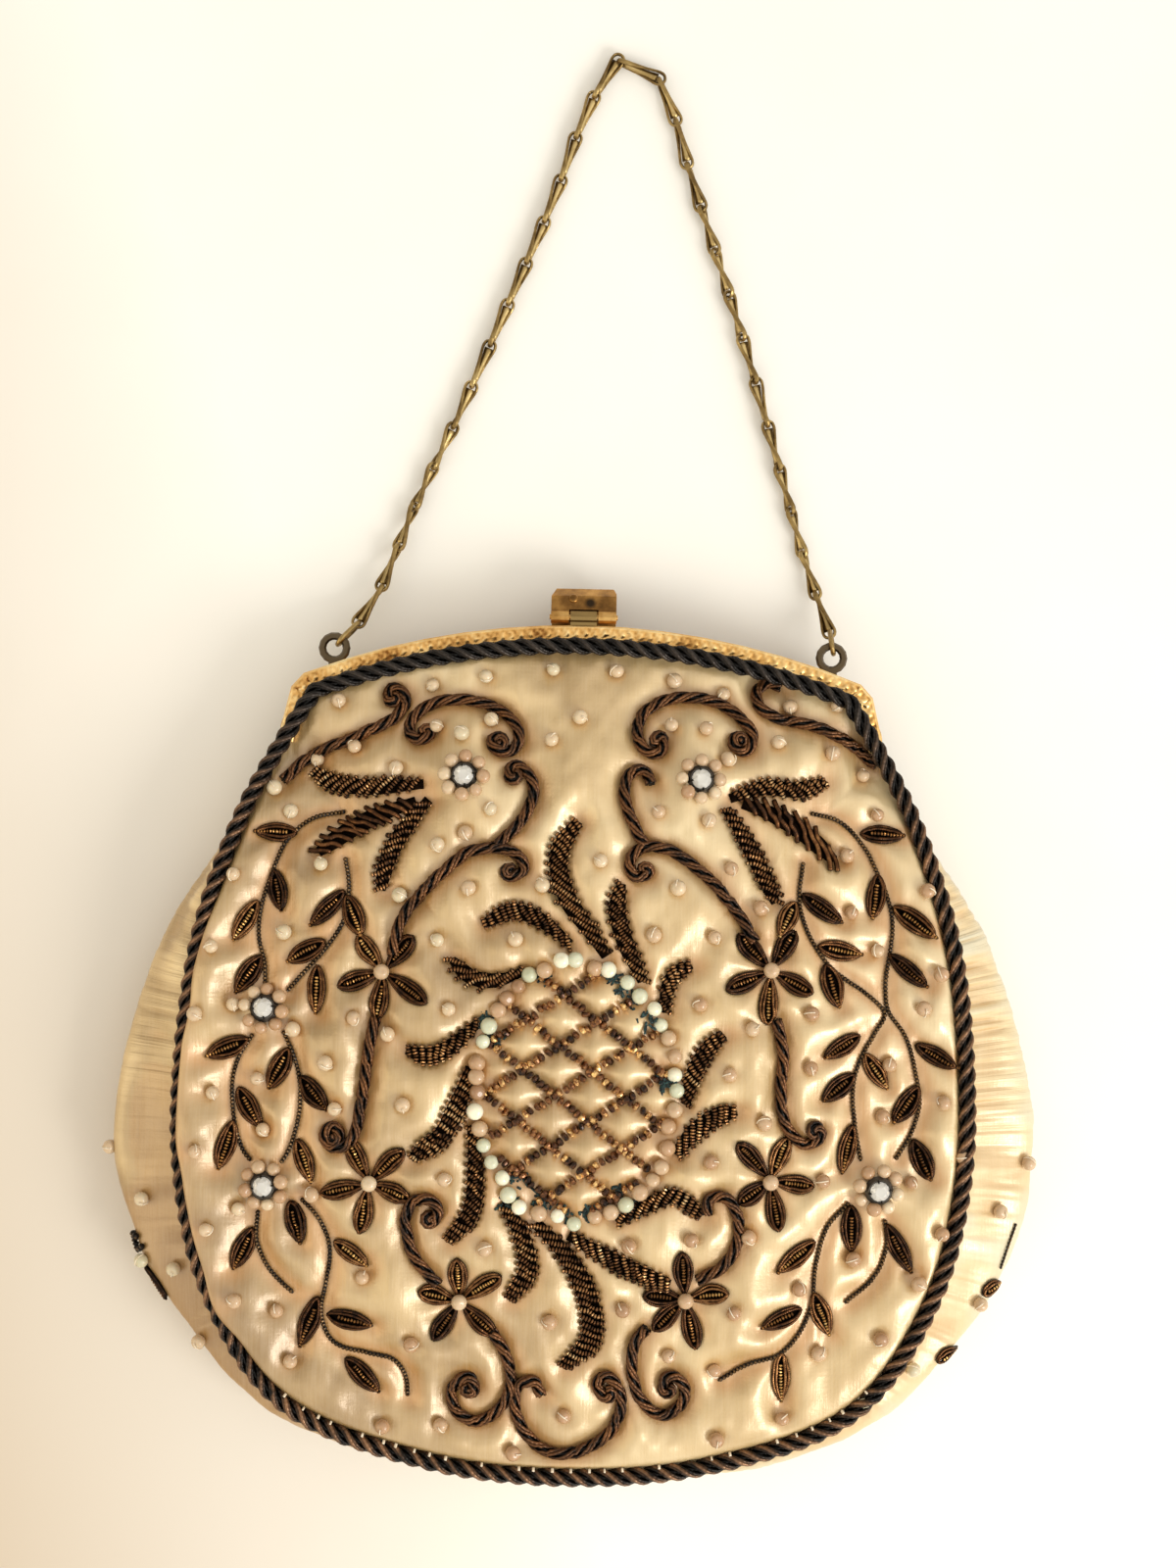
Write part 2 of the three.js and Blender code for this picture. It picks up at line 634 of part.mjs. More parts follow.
function linkShape() {
  const path = linkPath();
  const count = path.length;
  const rings = path.map((step, i) => {
    const run = path[(i + 1) % count].place.clone().sub(path[(i + count - 1) % count].place).normalize();
    const wide = new THREE.Vector3().crossVectors(run, step.out).normalize();
    const out = new THREE.Vector3().crossVectors(wide, run);
    return Array.from({ length: 6 }, (_, k) => {
      const angle = (Math.PI * k) / 3;
      return step.place
        .clone()
        .addScaledVector(wide, (LINK_WIDE / 2) * Math.cos(angle))
        .addScaledVector(out, (LINK_THICK / 2) * Math.sin(angle));
    });
  });
  return loft(rings, true);
}

function linkTurn(start, run, roll) {
  const level = new THREE.Vector3().crossVectors(new THREE.Vector3(0, 0, 1), run).normalize();
  const above = new THREE.Vector3().crossVectors(run, level);
  const side = level.clone().applyAxisAngle(run, THREE.MathUtils.degToRad(roll));
  const up = above.clone().applyAxisAngle(run, THREE.MathUtils.degToRad(roll));
  return new THREE.Matrix4().makeBasis(run, side, up).setPosition(start);
}

// Places the links one after another along the route and gives the two free ends of the chain.
function chain() {
  const left = routePoints(ROUTE_LEFT);
  const right = routePoints(ROUTE_RIGHT);
  const joints = [...left, ...right.slice(1)];
  const shape = linkShape();
  const first = joints[0].clone();
  let start = first.clone();
  let end = start;
  for (let i = 0; i < joints.length - 1; i++) {
    const run = joints[i + 1].clone().sub(start).normalize();
    const number = i + 1;
    const name = "chain_link_" + String(number).padStart(2, "0");
    addPiece(name, shape.clone().applyMatrix4(linkTurn(start, run, rollOf(number))), brass);
    end = start.clone().addScaledVector(run, LINK_REACH);
    if (i + 2 < joints.length) {
      const ahead = joints[i + 2].clone().sub(joints[i + 1]).normalize();
      const bend = run.angleTo(ahead);
      const room = LINK_OVERLAP - (LINK_THICK / 2) * (1 - Math.cos(bend)) + (LINK_WIDE / 2) * Math.sin(bend);
      start = end.clone().addScaledVector(run, -room);
    }
  }
  return { first, last: end };
}

// An oval ring from the frame's ring to one end of the chain
function jumpRing(ringX, end, roll) {
  const ring = new THREE.Vector3(ringX, RING.y, RING.z);
  const level = new THREE.Vector3(end.x - ringX, end.y - RING.y, 0).normalize();
  const rim = ring.addScaledVector(level, RING.radius);
  const run = end.clone().sub(rim).normalize();
  const near = -RING.wire - JUMP_WIRE - 0.2;
  const far = end.distanceTo(rim) + LINK_THICK / 2 + JUMP_WIRE + 0.2;
  const turn = linkTurn(rim, run, roll);
  const points = [];
  for (let k = -3; k <= 3; k++) {
    const angle = (k * Math.PI) / 6;
    points.push([near + JUMP_RADIUS * (1 - Math.cos(angle)), JUMP_RADIUS * Math.sin(angle)]);
  }
  for (let k = 3; k >= -3; k--) {
    const angle = (k * Math.PI) / 6;
    points.push([far - JUMP_RADIUS * (1 - Math.cos(angle)), JUMP_RADIUS * Math.sin(angle)]);
  }
  const flat = points.map(([along, across]) => new THREE.Vector3(along, across, 0));
  const loop = roundLoop(flat, JUMP_WIRE, 6);
  const stand = new THREE.Matrix4().makeRotationX(QUARTER);
  return loop.applyMatrix4(stand).applyMatrix4(turn);
}

// Stones
function turned(profile, sides) {
  return new THREE.LatheGeometry(profile.map((row) => new THREE.Vector2(row.r, row.z)), sides).rotateX(QUARTER);
}

function stone(row) {
  const solid = fused([turned(STONE_PROFILE, STONE_FACETS), turned(SETTING_PROFILE, 12)]);
  const geometry = toGeometry(solid);
  const step = 1.5;
  const slopeX = (frontHeight(row.x + step, row.y) - frontHeight(row.x - step, row.y)) / (2 * step);
  const slopeY = (frontHeight(row.x, row.y + step) - frontHeight(row.x, row.y - step)) / (2 * step);
  const up = new THREE.Vector3(-slopeX, -slopeY, 1).normalize();
  const turn = new THREE.Quaternion().setFromUnitVectors(new THREE.Vector3(0, 0, 1), up);
  const place = new THREE.Vector3(row.x, row.y, frontHeight(row.x, row.y)).addScaledVector(up, CLEARANCE);
  return geometry.applyQuaternion(turn).translate(place.x, place.y, place.z);
}

addPiece("front_panel", frontPanel(), satin);
addPiece("back_panel", backPanel(), satin);
addPiece("gusset", gusset(), satin);
addPiece("front_cord", frontCord(), cord);
addPiece("back_cord", backCord(), cord);
addPiece("frame_front", frameFront(), gilt);
addPiece("frame_back", frameBack(), gilt);
addPiece("hinge_rivet_right", rivet(), gilt);
addPiece("hinge_rivet_left", mirrored(rivet()), gilt);
addPiece("clasp_flap", claspFlap(), gilt);
addPiece("clasp_pin", claspPin(), gilt);
const chainEnds = chain();
addPiece("jump_ring_left", jumpRing(-RING.x, chainEnds.first, JUMP_ROLL.left), brass);
addPiece("jump_ring_right", jumpRing(RING.x, chainEnds.last, JUMP_ROLL.right), brass);
STONES.forEach((row, i) => addPiece("stone_" + (i + 1), stone(row), crystal));

export default bag;
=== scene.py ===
import math

import bpy
import numpy as np
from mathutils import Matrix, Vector
from mathutils.bvhtree import BVHTree
from mathutils.kdtree import KDTree


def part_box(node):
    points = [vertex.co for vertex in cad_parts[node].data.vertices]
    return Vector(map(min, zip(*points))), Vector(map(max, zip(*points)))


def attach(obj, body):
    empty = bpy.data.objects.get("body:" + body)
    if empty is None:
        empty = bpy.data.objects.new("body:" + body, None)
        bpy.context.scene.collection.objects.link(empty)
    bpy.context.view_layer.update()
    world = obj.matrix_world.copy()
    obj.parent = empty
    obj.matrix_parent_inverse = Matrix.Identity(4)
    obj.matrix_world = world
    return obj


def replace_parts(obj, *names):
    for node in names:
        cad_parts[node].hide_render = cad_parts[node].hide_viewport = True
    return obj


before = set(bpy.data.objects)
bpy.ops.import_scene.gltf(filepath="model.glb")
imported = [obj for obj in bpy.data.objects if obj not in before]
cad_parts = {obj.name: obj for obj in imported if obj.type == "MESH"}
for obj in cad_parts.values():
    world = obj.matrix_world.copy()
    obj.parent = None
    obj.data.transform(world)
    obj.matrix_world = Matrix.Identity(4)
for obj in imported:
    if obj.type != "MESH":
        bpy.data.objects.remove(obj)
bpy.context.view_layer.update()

# A beaded evening bag lying on its back, seen from straight above.
# Sizes are in millimetres, in the frame of the solids. MM turns them into metres.
MM = 0.001
TURN = 2 * math.pi

# Camera, as heights and places above the floor, and the photograph's own pixels
PHOTO_WIDE = 1200
PHOTO_TALL = 1600
CAMERA_X = 1.6
CAMERA_Y = 54.9
CAMERA_Z = 480.0
CAMERA_ROLL = math.radians(1.2)
FOCAL_PX = 2316
SENSOR_TALL = 24.0

# Pouch. Rows run down one side from the end of the frame's leg to the bottom: y, half the front panel's
# width, height of the front seam, height of the back seam, and how far the gusset swells past the seam.
SECTIONS = [
    (61.0, 60.6, 15.4, 8.6, 0.0),
    (54.9, 64.2, 17.0, 7.0, 0.0),
    (45.0, 68.6, 19.0, 5.4, 0.8),
    (23.4, 75.3, 21.4, 4.2, 7.5),
    (-4.2, 78.5, 22.0, 4.2, 13.5),
    (-25.0, 78.0, 22.0, 4.2, 15.2),
    (-47.5, 72.6, 21.4, 4.2, 11.5),
    (-70.2, 57.6, 20.4, 4.4, 6.5),
    (-81.6, 29.5, 19.6, 4.8, 4.0),
    (-84.8, 0.0, 19.4, 5.0, 2.8),
]
HEM = 2.6
CROWN_Z = 31.0
CROWN_POWER = 2.5
REST_SHARE = 0.7
PANEL_WALL = 1.6
GUSSET_WALL = 1.4
FLOOR_CLEAR = 0.05

# Frame
FRAME_TOP_Y = 87.3
ARCH_RADIUS = 154.0
CORNER_X = 59.0
CORNER_BLUNT = 2.0
LEG_END = (62.0, 62.9)
FRAME_FACE_Z = 16.6
FACE_WIDTH = 3.2
TUCK_Z = 15.4
TUCK_INSET = 1.3
BACK_TUCK_Z = 8.6
BACK_TUCK_INSET = 2.5
RING_PLACES = ((-51.5, 82.0, 9.6), (51.5, 82.0, 9.6))
RING_REACH = 3.6
# Button and stain on the clasp's flap, as shares of the way across and up it
BOSS_SHARE = (0.34, 0.75)
BOSS_PROFILE = [(0.95, -0.15), (0.95, 0.12), (0.78, 0.30), (0.45, 0.40), (0.06, 0.43)]
SPOT_SHARE = (0.60, 0.66)
SPOT_REACH = 0.6
KNUCKLE_REACH = 3.2

# Chain links: the end loops are left open, and the strands between them close in at mid length
LINK_EYE = 2.1
LINK_HALF = 1.15
LINK_PINCH = 0.30
LINK_FOLD = 0.9

# Edge cords: how far they lie inside the frame's edge, and where they leave it
CORD_INSET = 4.4
CORD_FRAME_Z = 18.9
BACK_CORD_INSET = 6.1
BACK_CORD_FRAME_Z = 5.3
CORD_RISE = 2.1
CORD_OUT = 0.5
CORD_FREE_Y = 57.0
CORD_FRAME_Y = 67.9

# Embroidery chart, in pixels of the photograph (u, v), and the steps along its lines
CHART_STEP = 3
HELD_STEP = 4
PLUME_HELD_STEP = 5
SCROLLS = [
    [(289, 797), (319, 771), (365, 751), (403, 733), (414, 718), (411, 706), (399, 703), (396, 712)],
    [(437, 752), (428, 757), (418, 748), (422, 733), (440, 720), (470, 715), (503, 721), (526, 740),
     (530, 756), (519, 768), (506, 766), (500, 757), (508, 753)],
    [(676, 757), (674, 768), (660, 768), (651, 752), (655, 731), (680, 715), (721, 715), (753, 731),
     (768, 752), (762, 767), (750, 764), (748, 757)],
    [(798, 701), (784, 697), (772, 706), (774, 722), (794, 734), (830, 742), (862, 756), (894, 782)],
    [(519, 791), (522, 783), (533, 784), (544, 800), (541, 822), (528, 843), (507, 863)],
    [(521, 894), (533, 889), (531, 875), (510, 866), (479, 870), (452, 891), (428, 915), (410, 939),
     (400, 975)],
    [(665, 801), (660, 789), (648, 786), (638, 800), (638, 818), (645, 838), (658, 862)],
    [(660, 893), (648, 896), (642, 880), (655, 866), (678, 866), (700, 878), (722, 896), (747, 925),
     (771, 962)],
    [(383, 1038), (377, 1069), (373, 1097), (369, 1125), (364, 1153), (353, 1169), (338, 1170),
     (331, 1158), (340, 1149), (346, 1156)],
    [(792, 1041), (799, 1076), (796, 1108), (799, 1139), (808, 1159), (824, 1168), (837, 1159),
     (836, 1152)],
    [(442, 1247), (449, 1236), (436, 1223), (421, 1227), (413, 1245), (416, 1265), (424, 1285),
     (447, 1311)],
    [(501, 1358), (517, 1384), (520, 1413), (509, 1438), (485, 1449), (466, 1438), (461, 1420),
     (470, 1406), (482, 1406), (484, 1417)],
    [(552, 1424), (545, 1410), (531, 1412), (525, 1433), (535, 1459), (558, 1478), (592, 1478),
     (622, 1460), (634, 1435), (629, 1413), (617, 1404), (609, 1413), (615, 1424)],
    [(660, 1355), (648, 1371), (645, 1400), (654, 1428), (675, 1444), (693, 1436), (699, 1418),
     (691, 1406), (679, 1406), (676, 1416)],
    [(722, 1241), (724, 1224), (740, 1222), (752, 1240), (752, 1268), (738, 1292), (711, 1307)],
]
VINES = [
    [(352, 828), (318, 836), (295, 855), (280, 885), (268, 920), (264, 955), (270, 985), (270, 1010)],
    [(352, 875), (356, 905), (350, 940), (332, 968), (310, 992), (292, 1012)],
    [(258, 1055), (243, 1080), (237, 1105), (239, 1140), (247, 1172), (256, 1185)],
    [(288, 1052), (300, 1080), (306, 1115), (302, 1150), (292, 1178), (286, 1187)],
    [(263, 1235), (262, 1265), (275, 1295), (299, 1320)],
    [(306, 1224), (326, 1246), (336, 1275), (332, 1310), (327, 1342), (340, 1370), (372, 1380),
     (402, 1388), (413, 1404), (416, 1425)],
    [(827, 830), (855, 838), (880, 862), (897, 895), (909, 930), (910, 965), (904, 1000), (906, 1030),
     (924, 1058), (934, 1095), (938, 1125), (930, 1155), (914, 1184)],
    [(820, 880), (816, 920), (826, 955), (850, 990), (885, 1015), (903, 1035), (893, 1055), (878, 1082),
     (871, 1112), (873, 1150), (879, 1186)],
    [(867, 1228), (845, 1252), (833, 1290), (829, 1330), (815, 1362), (795, 1383), (765, 1392),
     (733, 1410)],
    [(903, 1245), (905, 1270), (892, 1303), (862, 1331)],
]
# Leaves from the stem to the tip
LEAVES = [
    ((303, 850), (262, 848)), ((280, 887), (287, 928)), ((263, 919), (240, 958)),
    ((351, 909), (318, 944)), ((354, 914), (368, 954)), ((331, 960), (294, 981)),
    ((266, 975), (242, 1011)), ((324, 986), (322, 1034)), ((253, 1060), (213, 1076)),
    ((294, 1070), (275, 1111)), ((308, 1099), (332, 1133)), ((243, 1110), (265, 1150)),
    ((239, 1143), (224, 1190)), ((304, 1163), (317, 1205)), ((296, 1226), (307, 1268)),
    ((258, 1253), (239, 1292)), ((341, 1267), (374, 1291)), ((324, 1324), (307, 1372)),
    ((335, 1341), (379, 1352)), ((353, 1386), (386, 1419)), ((878, 851), (920, 853)),
    ((896, 893), (891, 937)), ((912, 925), (952, 955)), ((819, 913), (858, 942)),
    ((811, 921), (796, 955)), ((835, 966), (878, 975)), ((909, 975), (944, 1006)),
    ((842, 985), (856, 1028)), ((877, 1057), (842, 1079)), ((934, 1066), (972, 1087)),
    ((882, 1076), (905, 1111)), ((872, 1097), (840, 1124)), ((937, 1108), (913, 1146)),
    ((869, 1149), (859, 1197)), ((931, 1163), (949, 1202)), ((869, 1231), (869, 1277)),
    ((905, 1250), (928, 1295)), ((831, 1267), (794, 1299)), ((831, 1321), (846, 1362)),
    ((817, 1336), (778, 1355)), ((797, 1381), (796, 1427)),
]
LEAF_WIDE = 23
LEAF_UNEVEN = (-2, 2)
GUSSET_LEAF_WIDE = 20
# Form of a leaf and of a petal: where it is widest, how blunt its ends are, and where its coil ends
LEAF_FORM = {"power": 1.0, "blunt": 0.62, "coil_end": 1.07}
PETAL_FORM = {"power": 1.3, "blunt": 0.60, "coil_end": 0.88}
# Flowers: the middle, then the middle of each petal
FLOWERS = [
    ((391, 992), [(375, 970), (410, 970), (363, 1001), (418, 1011), (387, 1021)]),
    ((787, 991), [(801, 967), (766, 969), (812, 1005), (759, 1003), (784, 1024)]),
    ((376, 1208), [(364, 1181), (397, 1186), (347, 1214), (401, 1217), (371, 1238)]),
    ((786, 1205), [(796, 1179), (766, 1181), (813, 1209), (767, 1219), (791, 1236)]),
    ((468, 1329), [(467, 1302), (494, 1312), (443, 1322), (452, 1352), (490, 1350)]),
    ((699, 1326), [(697, 1297), (726, 1322), (673, 1324), (680, 1345), (706, 1356)]),
]
PETAL_WIDE = 23
# Ends of a petal, as shares of the way from the heart to the petal's middle
PETAL_START = 0.18
PETAL_END = 1.66
# Outline wires of a leaf: radius, step from the outer to the inner one, and how high they lie
LEAF_WIRE = 0.34
LEAF_STEP = 0.56
LEAF_LIFT = 0.45
LEAF_CUTS = 15
# Coil in the middle of a leaf: where it starts, radius, rib, and how high it lies
LEAF_COIL_START = 0.22
LEAF_COIL_RADIUS = 0.47
LEAF_COIL_RIB = 0.66
LEAF_COIL_LIFT = 0.66
# Padding under a leaf: its ends, how far it stays inside the wires, how blunt and how high it is
LEAF_BED = (0.06, 0.94)
LEAF_BED_MARGIN = 0.5
LEAF_BED_BLUNT = 0.75
LEAF_BED_HIGH = 0.1
PADDING_LOW = 0.12
PADDING_CUTS = 5
# Plumes of coiled wire from the tip to the base, with the width in the middle and the lean of the rows, in
# degrees as seen, at the tip and at the base
PLUMES = [
    ([(590, 838), (570, 872), (578, 915), (600, 948), (619, 976)], 29, (-45, -12)),
    ([(634, 902), (630, 930), (638, 962), (656, 1002)], 27, (-45, -22)),
    ([(492, 944), (522, 930), (553, 940), (582, 964)], 24, (-62, -82)),
    ([(461, 980), (480, 997), (505, 1001), (532, 993)], 24, (-8, 58)),
    ([(414, 1072), (437, 1078), (463, 1066), (486, 1046)], 25, (95, 85)),
    ([(420, 1183), (450, 1160), (468, 1125), (480, 1090)], 29, (-35, -35)),
    ([(456, 1268), (479, 1240), (485, 1200), (481, 1150)], 26, (-35, -38)),
    ([(519, 1328), (538, 1298), (532, 1262), (513, 1228)], 27, (-30, -10)),
    ([(574, 1396), (602, 1370), (600, 1325), (576, 1280), (547, 1250)], 30, (-25, 0)),
    ([(684, 1312), (650, 1300), (615, 1282), (580, 1262)], 27, (90, 105)),
    ([(716, 1242), (690, 1222), (660, 1232), (630, 1248)], 23, (60, 75)),
    ([(752, 1134), (728, 1142), (705, 1160), (690, 1180)], 28, (92, 98)),
    ([(739, 1056), (722, 1072), (708, 1098), (700, 1128)], 25, (125, 140)),
    ([(706, 985), (688, 996), (680, 1016), (679, 1034)], 23, (98, 140)),
    ([(319, 787), (345, 800), (390, 803), (432, 800)], 25, (42, 55)),
    ([(388, 909), (395, 878), (413, 845), (437, 816)], 26, (20, -4)),
    ([(842, 798), (815, 806), (780, 804), (745, 815)], 25, (-52, -52)),
    ([(792, 922), (778, 890), (760, 855), (742, 826)], 26, (-20, 0)),
]
# Leaves of smooth coils, tip to stem, with the same values
SATIN_LEAVES = [
    ([(324, 870), (352, 850), (385, 832), (424, 818)], 28, (-3, -38)),
    ([(852, 878), (820, 850), (790, 832), (758, 820)], 28, (-74, -60)),
]
# Medallion: an oval of pearls round a lattice of two families of bead strings. A string runs through
# (MEDALLION_U, v) with the family's slope, and ends inside the oval.
MEDALLION_U = 588
MEDALLION_V = 1114
MEDALLION_HALF_U = 97
MEDALLION_HALF_V = 128
FALLING = {"slope": 0.80, "starts": (1025, 1081, 1136, 1192, 1245)}
RISING = {"slope": -0.63, "starts": (1008, 1057, 1105, 1154, 1203, 1246)}
LATTICE_SHARE = 0.93
MEDALLION_FADE = 4
# Seed beads: pitch, radius, how much of the pitch they fill, and how far they lean, stand up and stray
BEAD_PITCH = 1.34
BEAD_RADIUS = (0.82, 0.96)
BEAD_FILL = (0.84, 0.98)
BEAD_LEAN = 0.2
BEAD_LIFT = 0.9
BEAD_STRAY = 0.12
BEAD_PROFILE = [(0.35, -0.96), (0.78, -0.80), (1.0, -0.30), (1.0, 0.30), (0.78, 0.80), (0.35, 0.96)]
# Ring pearls of the medallion, with their colour: m milk, g green, p pink, b brown
PEARL_TINTS = {"m": 0.98, "g": 0.78, "p": 0.30, "b": 0.10}
RING_TINT_UNEVEN = (-0.06, 0.06)
RING_PEARLS = [
    (489, 1083, "p"), (491, 1063, "g"), (500, 1046, "g"), (506, 1031, "p"), (516, 1017, "b"),
    (531, 1008, "b"), (542, 996, "g"), (556, 986, "p"), (571, 981, "m"), (587, 982, "g"), (604, 986, "p"),
    (623, 991, "m"), (639, 1003, "g"), (654, 1017, "g"), (665, 1031, "m"), (676, 1046, "g"),
    (685, 1061, "p"), (689, 1077, "p"), (690, 1095, "m"), (689, 1114, "g"), (688, 1134, "p"),
    (685, 1151, "p"), (679, 1171, "p"), (676, 1192, "p"), (667, 1206, "p"), (654, 1218, "p"),
    (639, 1229, "g"), (623, 1238, "p"), (606, 1245, "p"), (587, 1248, "g"), (569, 1244, "m"),
    (549, 1239, "p"), (531, 1230, "m"), (520, 1217, "g"), (510, 1204, "m"), (500, 1187, "g"),
    (495, 1170, "g"), (491, 1150, "p"), (486, 1133, "m"), (486, 1116, "b"), (489, 1099, "p"),
]
PEARLS = [
    (443, 698), (498, 691), (565, 685), (347, 716), (449, 741), (500, 737), (472, 750), (563, 757),
    (363, 765), (326, 776), (405, 782), (280, 806), (296, 827), (500, 826), (475, 848), (446, 861),
    (629, 687), (688, 694), (740, 708), (592, 733), (808, 721), (854, 722), (687, 741), (719, 746),
    (795, 760), (847, 770), (880, 795), (672, 829), (721, 838), (740, 777), (894, 831), (865, 875),
    (613, 879), (745, 886), (242, 892), (328, 885), (408, 912), (479, 906), (291, 953), (218, 966),
    (445, 959), (204, 1032), (238, 1027), (457, 1029), (359, 1038), (397, 1056), (302, 1049), (335, 1083),
    (262, 1099), (552, 906), (526, 960), (693, 907), (668, 955), (729, 956), (715, 1026), (745, 1097),
    (775, 928), (869, 931), (943, 909), (895, 970), (958, 992), (827, 1036), (767, 1050), (941, 1029),
    (975, 1037), (909, 1085), (826, 1091), (217, 1113), (344, 1130), (271, 1153), (202, 1170),
    (242, 1232), (320, 1219), (214, 1250), (368, 1306), (413, 1125), (454, 1201), (725, 1187),
    (495, 1273), (642, 1271), (704, 1266), (963, 1123), (898, 1139), (777, 1146), (976, 1179),
    (839, 1206), (928, 1207), (957, 1255), (766, 1263), (871, 1288), (937, 1308), (813, 1315),
    (243, 1322), (282, 1336), (421, 1368), (295, 1388), (391, 1452), (449, 1452), (560, 1347),
    (635, 1336), (750, 1339), (681, 1382), (727, 1396), (575, 1443), (522, 1480), (730, 1463),
    (833, 1381), (898, 1363), (797, 1446),
]
GUSSET_PEARLS = [
    (114, 1170), (147, 1221), (149, 1284), (179, 1293), (206, 1366), (1046, 1186), (1018, 1235),
    (997, 1330), (928, 1397), (884, 1433),
]
# Bits of the embroidery that turn the corner onto the gusset: leaves from the stem to the tip
GUSSET_LEAVES = [((150, 1290), (171, 1322)), ((1002, 1320), (1017, 1307)), ((955, 1388), (978, 1377))]
GUSSET_CURL = [(148, 1270), (140, 1276), (131, 1272), (129, 1262), (136, 1256), (143, 1262)]
GUSSET_VINE = [(1036, 1248), (1031, 1262), (1024, 1282), (1020, 1294)]
GUSSET_Z = 12.0

# Clumps of tarnished thread between the ring's pearls, dark enough to carry painted shade beside the pearls
# as well
VERDIGRIS = [
    (557, 999), (620, 999), (631, 1010), (645, 1022), (660, 1039), (504, 1063), (495, 1041), (675, 1108),
    (524, 1203), (515, 1227), (553, 1227), (579, 1236), (599, 1235), (630, 1216), (649, 1236),
]

# Threads in each clump: how far they stray from its middle, how high they start, and their radius
KNOT_THREADS = 18
KNOT_STRAY = 0.8
KNOT_LIFT = (0.3, 0.9)
KNOT_LENGTH = 0.9
KNOT_RADIUS = 0.28

# Pearls: radius and spread of sizes, how they sit, and the tint, with painted light that makes them paler
# towards the upper left
PEARL_RADIUS = 1.5
PEARL_UNEVEN = (0.9, 1.08)
PEARL_SIDES = 14
PEARL_LEAN = 0.28
PEARL_SET = 0.80
PEARL_FLAT = 0.95
PEARL_TINT = (0.14, 0.34)
PAINTED_LIGHT_TINT = 0.24
PAINTED_LIGHT_REACH = 160.0
GUSSET_PEARL_TINT = (0.35, 0.65)
# Hole of a pearl: half its angle, and the depth and width of the dimple round it
HOLE_ANGLE = 0.16
HOLE_DIMPLE = 0.16
HOLE_WIDTH = 0.3
# Thread over a pearl: radius, distance from the middle in pearl radii, and how far round it goes
THREAD_RADIUS = 0.13
THREAD_CLEAR = 1.03
THREAD_SPAN = 2.1
HEART_RADIUS = 1.62
HEART_LIFT = 0.5
HEART_TINT = (0.3, 0.5)
RING_PEARL_RADIUS = 1.62
STONE_RING_RADIUS = 3.75
STONE_PEARL_RADIUS = 1.42
STONE_PEARL_UNEVEN = (0.9, 1.1)
STONE_PEARL_TINT = (0.2, 0.5)
STONE_PEARLS = 8
# Stones: rows of corners from the table down, as radius, height, count and turn. Foil and cup are turned.
STONES = 5
STONE_ROWS = [(1.0, 2.45, 8, 0.0), (1.55, 2.1, 8, 0.5), (2.0, 1.45, 16, 0.0), (1.9, 1.25, 16, 0.0)]
STONE_FOIL = [(0.05, 0.55), (1.85, 1.15), (1.85, 1.05), (0.05, 0.45)]
# The cup's flat rim reaches past the stone and is dark, as painted shadow round it; the claws are the
# setting's dark metal
STONE_CUP = [
    (0.2, 0.0), (2.85, 0.0), (2.85, 0.3), (2.3, 0.6), (2.28, 1.5), (2.1, 1.55), (2.02, 0.5), (0.2, 0.3),
]
STONE_FOOT = 0.1
STONE_ASIDE = (0.2, 0.9, 0.1)
# Claws of a stone's cup, as distances out and up
CLAWS = 4
CLAW_TURN = 0.25
CLAW_RADIUS = 0.2
CLAW = [(2.2, 1.2), (2.2, 1.6), (2.0, 1.84), (1.8, 1.95)]
# Cords: for each wire of a ply its angle in degrees, its distance from the cord's middle and its radius.
# A lay below nought twists the other way.
EDGE_PLIES = 3
EDGE_PLY = [(-22, 1.20, 0.41), (0, 1.46, 0.43), (22, 1.20, 0.41)]
EDGE_CORE = 0.80
EDGE_LAY = -10.8
SCROLL_PLIES = 3
SCROLL_PLY = [(-20, 0.90, 0.36), (20, 0.90, 0.36)]
SCROLL_CORE = 0.55
SCROLL_LAY = 12.5
SCROLL_LIFT = 0.95
SCROLL_STEP = 0.6
# Inside this share of a cord's outer radius, its wires get full painted shade
PAINTED_SHADE_INNER_SHARE = 0.62
VINE_RADIUS = 0.50
VINE_RIB = 0.80
VINE_LIFT = 0.35
VINE_STEP = 0.4
GUSSET_VINE_RADIUS = 0.3
GUSSET_CURL_RADIUS = 0.7
# Coils are narrower in the grooves between ribs and at their ends
COIL_GROOVE = 0.58
COIL_END = 0.45
# Rows of the plumes and of the smooth leaves: how far apart, and the coil's radius and ribs. A row never lies
# nearer to its stem's own way than the crossing, which is a sine.
PLUME_STEP = 0.8
PLUME_COIL = {"spacing": 1.42, "radius": 0.58, "rib": 0.62}
PLUME_CROSSING = 0.45
SMOOTH_COIL = {"spacing": 1.46, "radius": 0.54, "rib": 0.0}
# Width of a plume: its share at the tip, how fast it grows, where it is widest and what it loses at the base
PLUME_TIP = 0.55
PLUME_GROWTH = 2.4
PLUME_WIDEST = 0.55
PLUME_LOSS = 0.38
# Rows of a plume: where the first and last lie, how they sway and vary, and how they arch over the padding
PLUME_START = 0.4
PLUME_END = 0.3
PLUME_SWAY = (-2, 2)
PLUME_HALF = 0.46
PLUME_UNEVEN = (0.92, 1.04)
PLUME_FOOT = 0.35
PLUME_ARCH = 1.15
PLUME_BED = 0.32
PLUME_BED_HIGH = 0.75
# Curled ends of the scrolls wind on into a knob: the stretch that shows the curl, the least bend, and the
# knob's radii
CURL_STEP = 0.5
CURL_LOOK = 7
CURL_LEAST = 0.9
KNOB_RADII = (1.35, 1.2, 1.1, 1.0, 0.9, 0.8, 0.7, 0.65)
# White stitches that hold the edge cord along the bottom
STITCH_GAP = 3.6
STITCH_TOP_Y = -66.0
STITCH_SHARE = 0.7
STITCH_RADIUS = (0.2, 0.34)
STITCH_STRAY = (-0.6, 0.6)
STITCH = [(1.95, 0.9), (1.75, 1.25), (1.4, 1.45)]

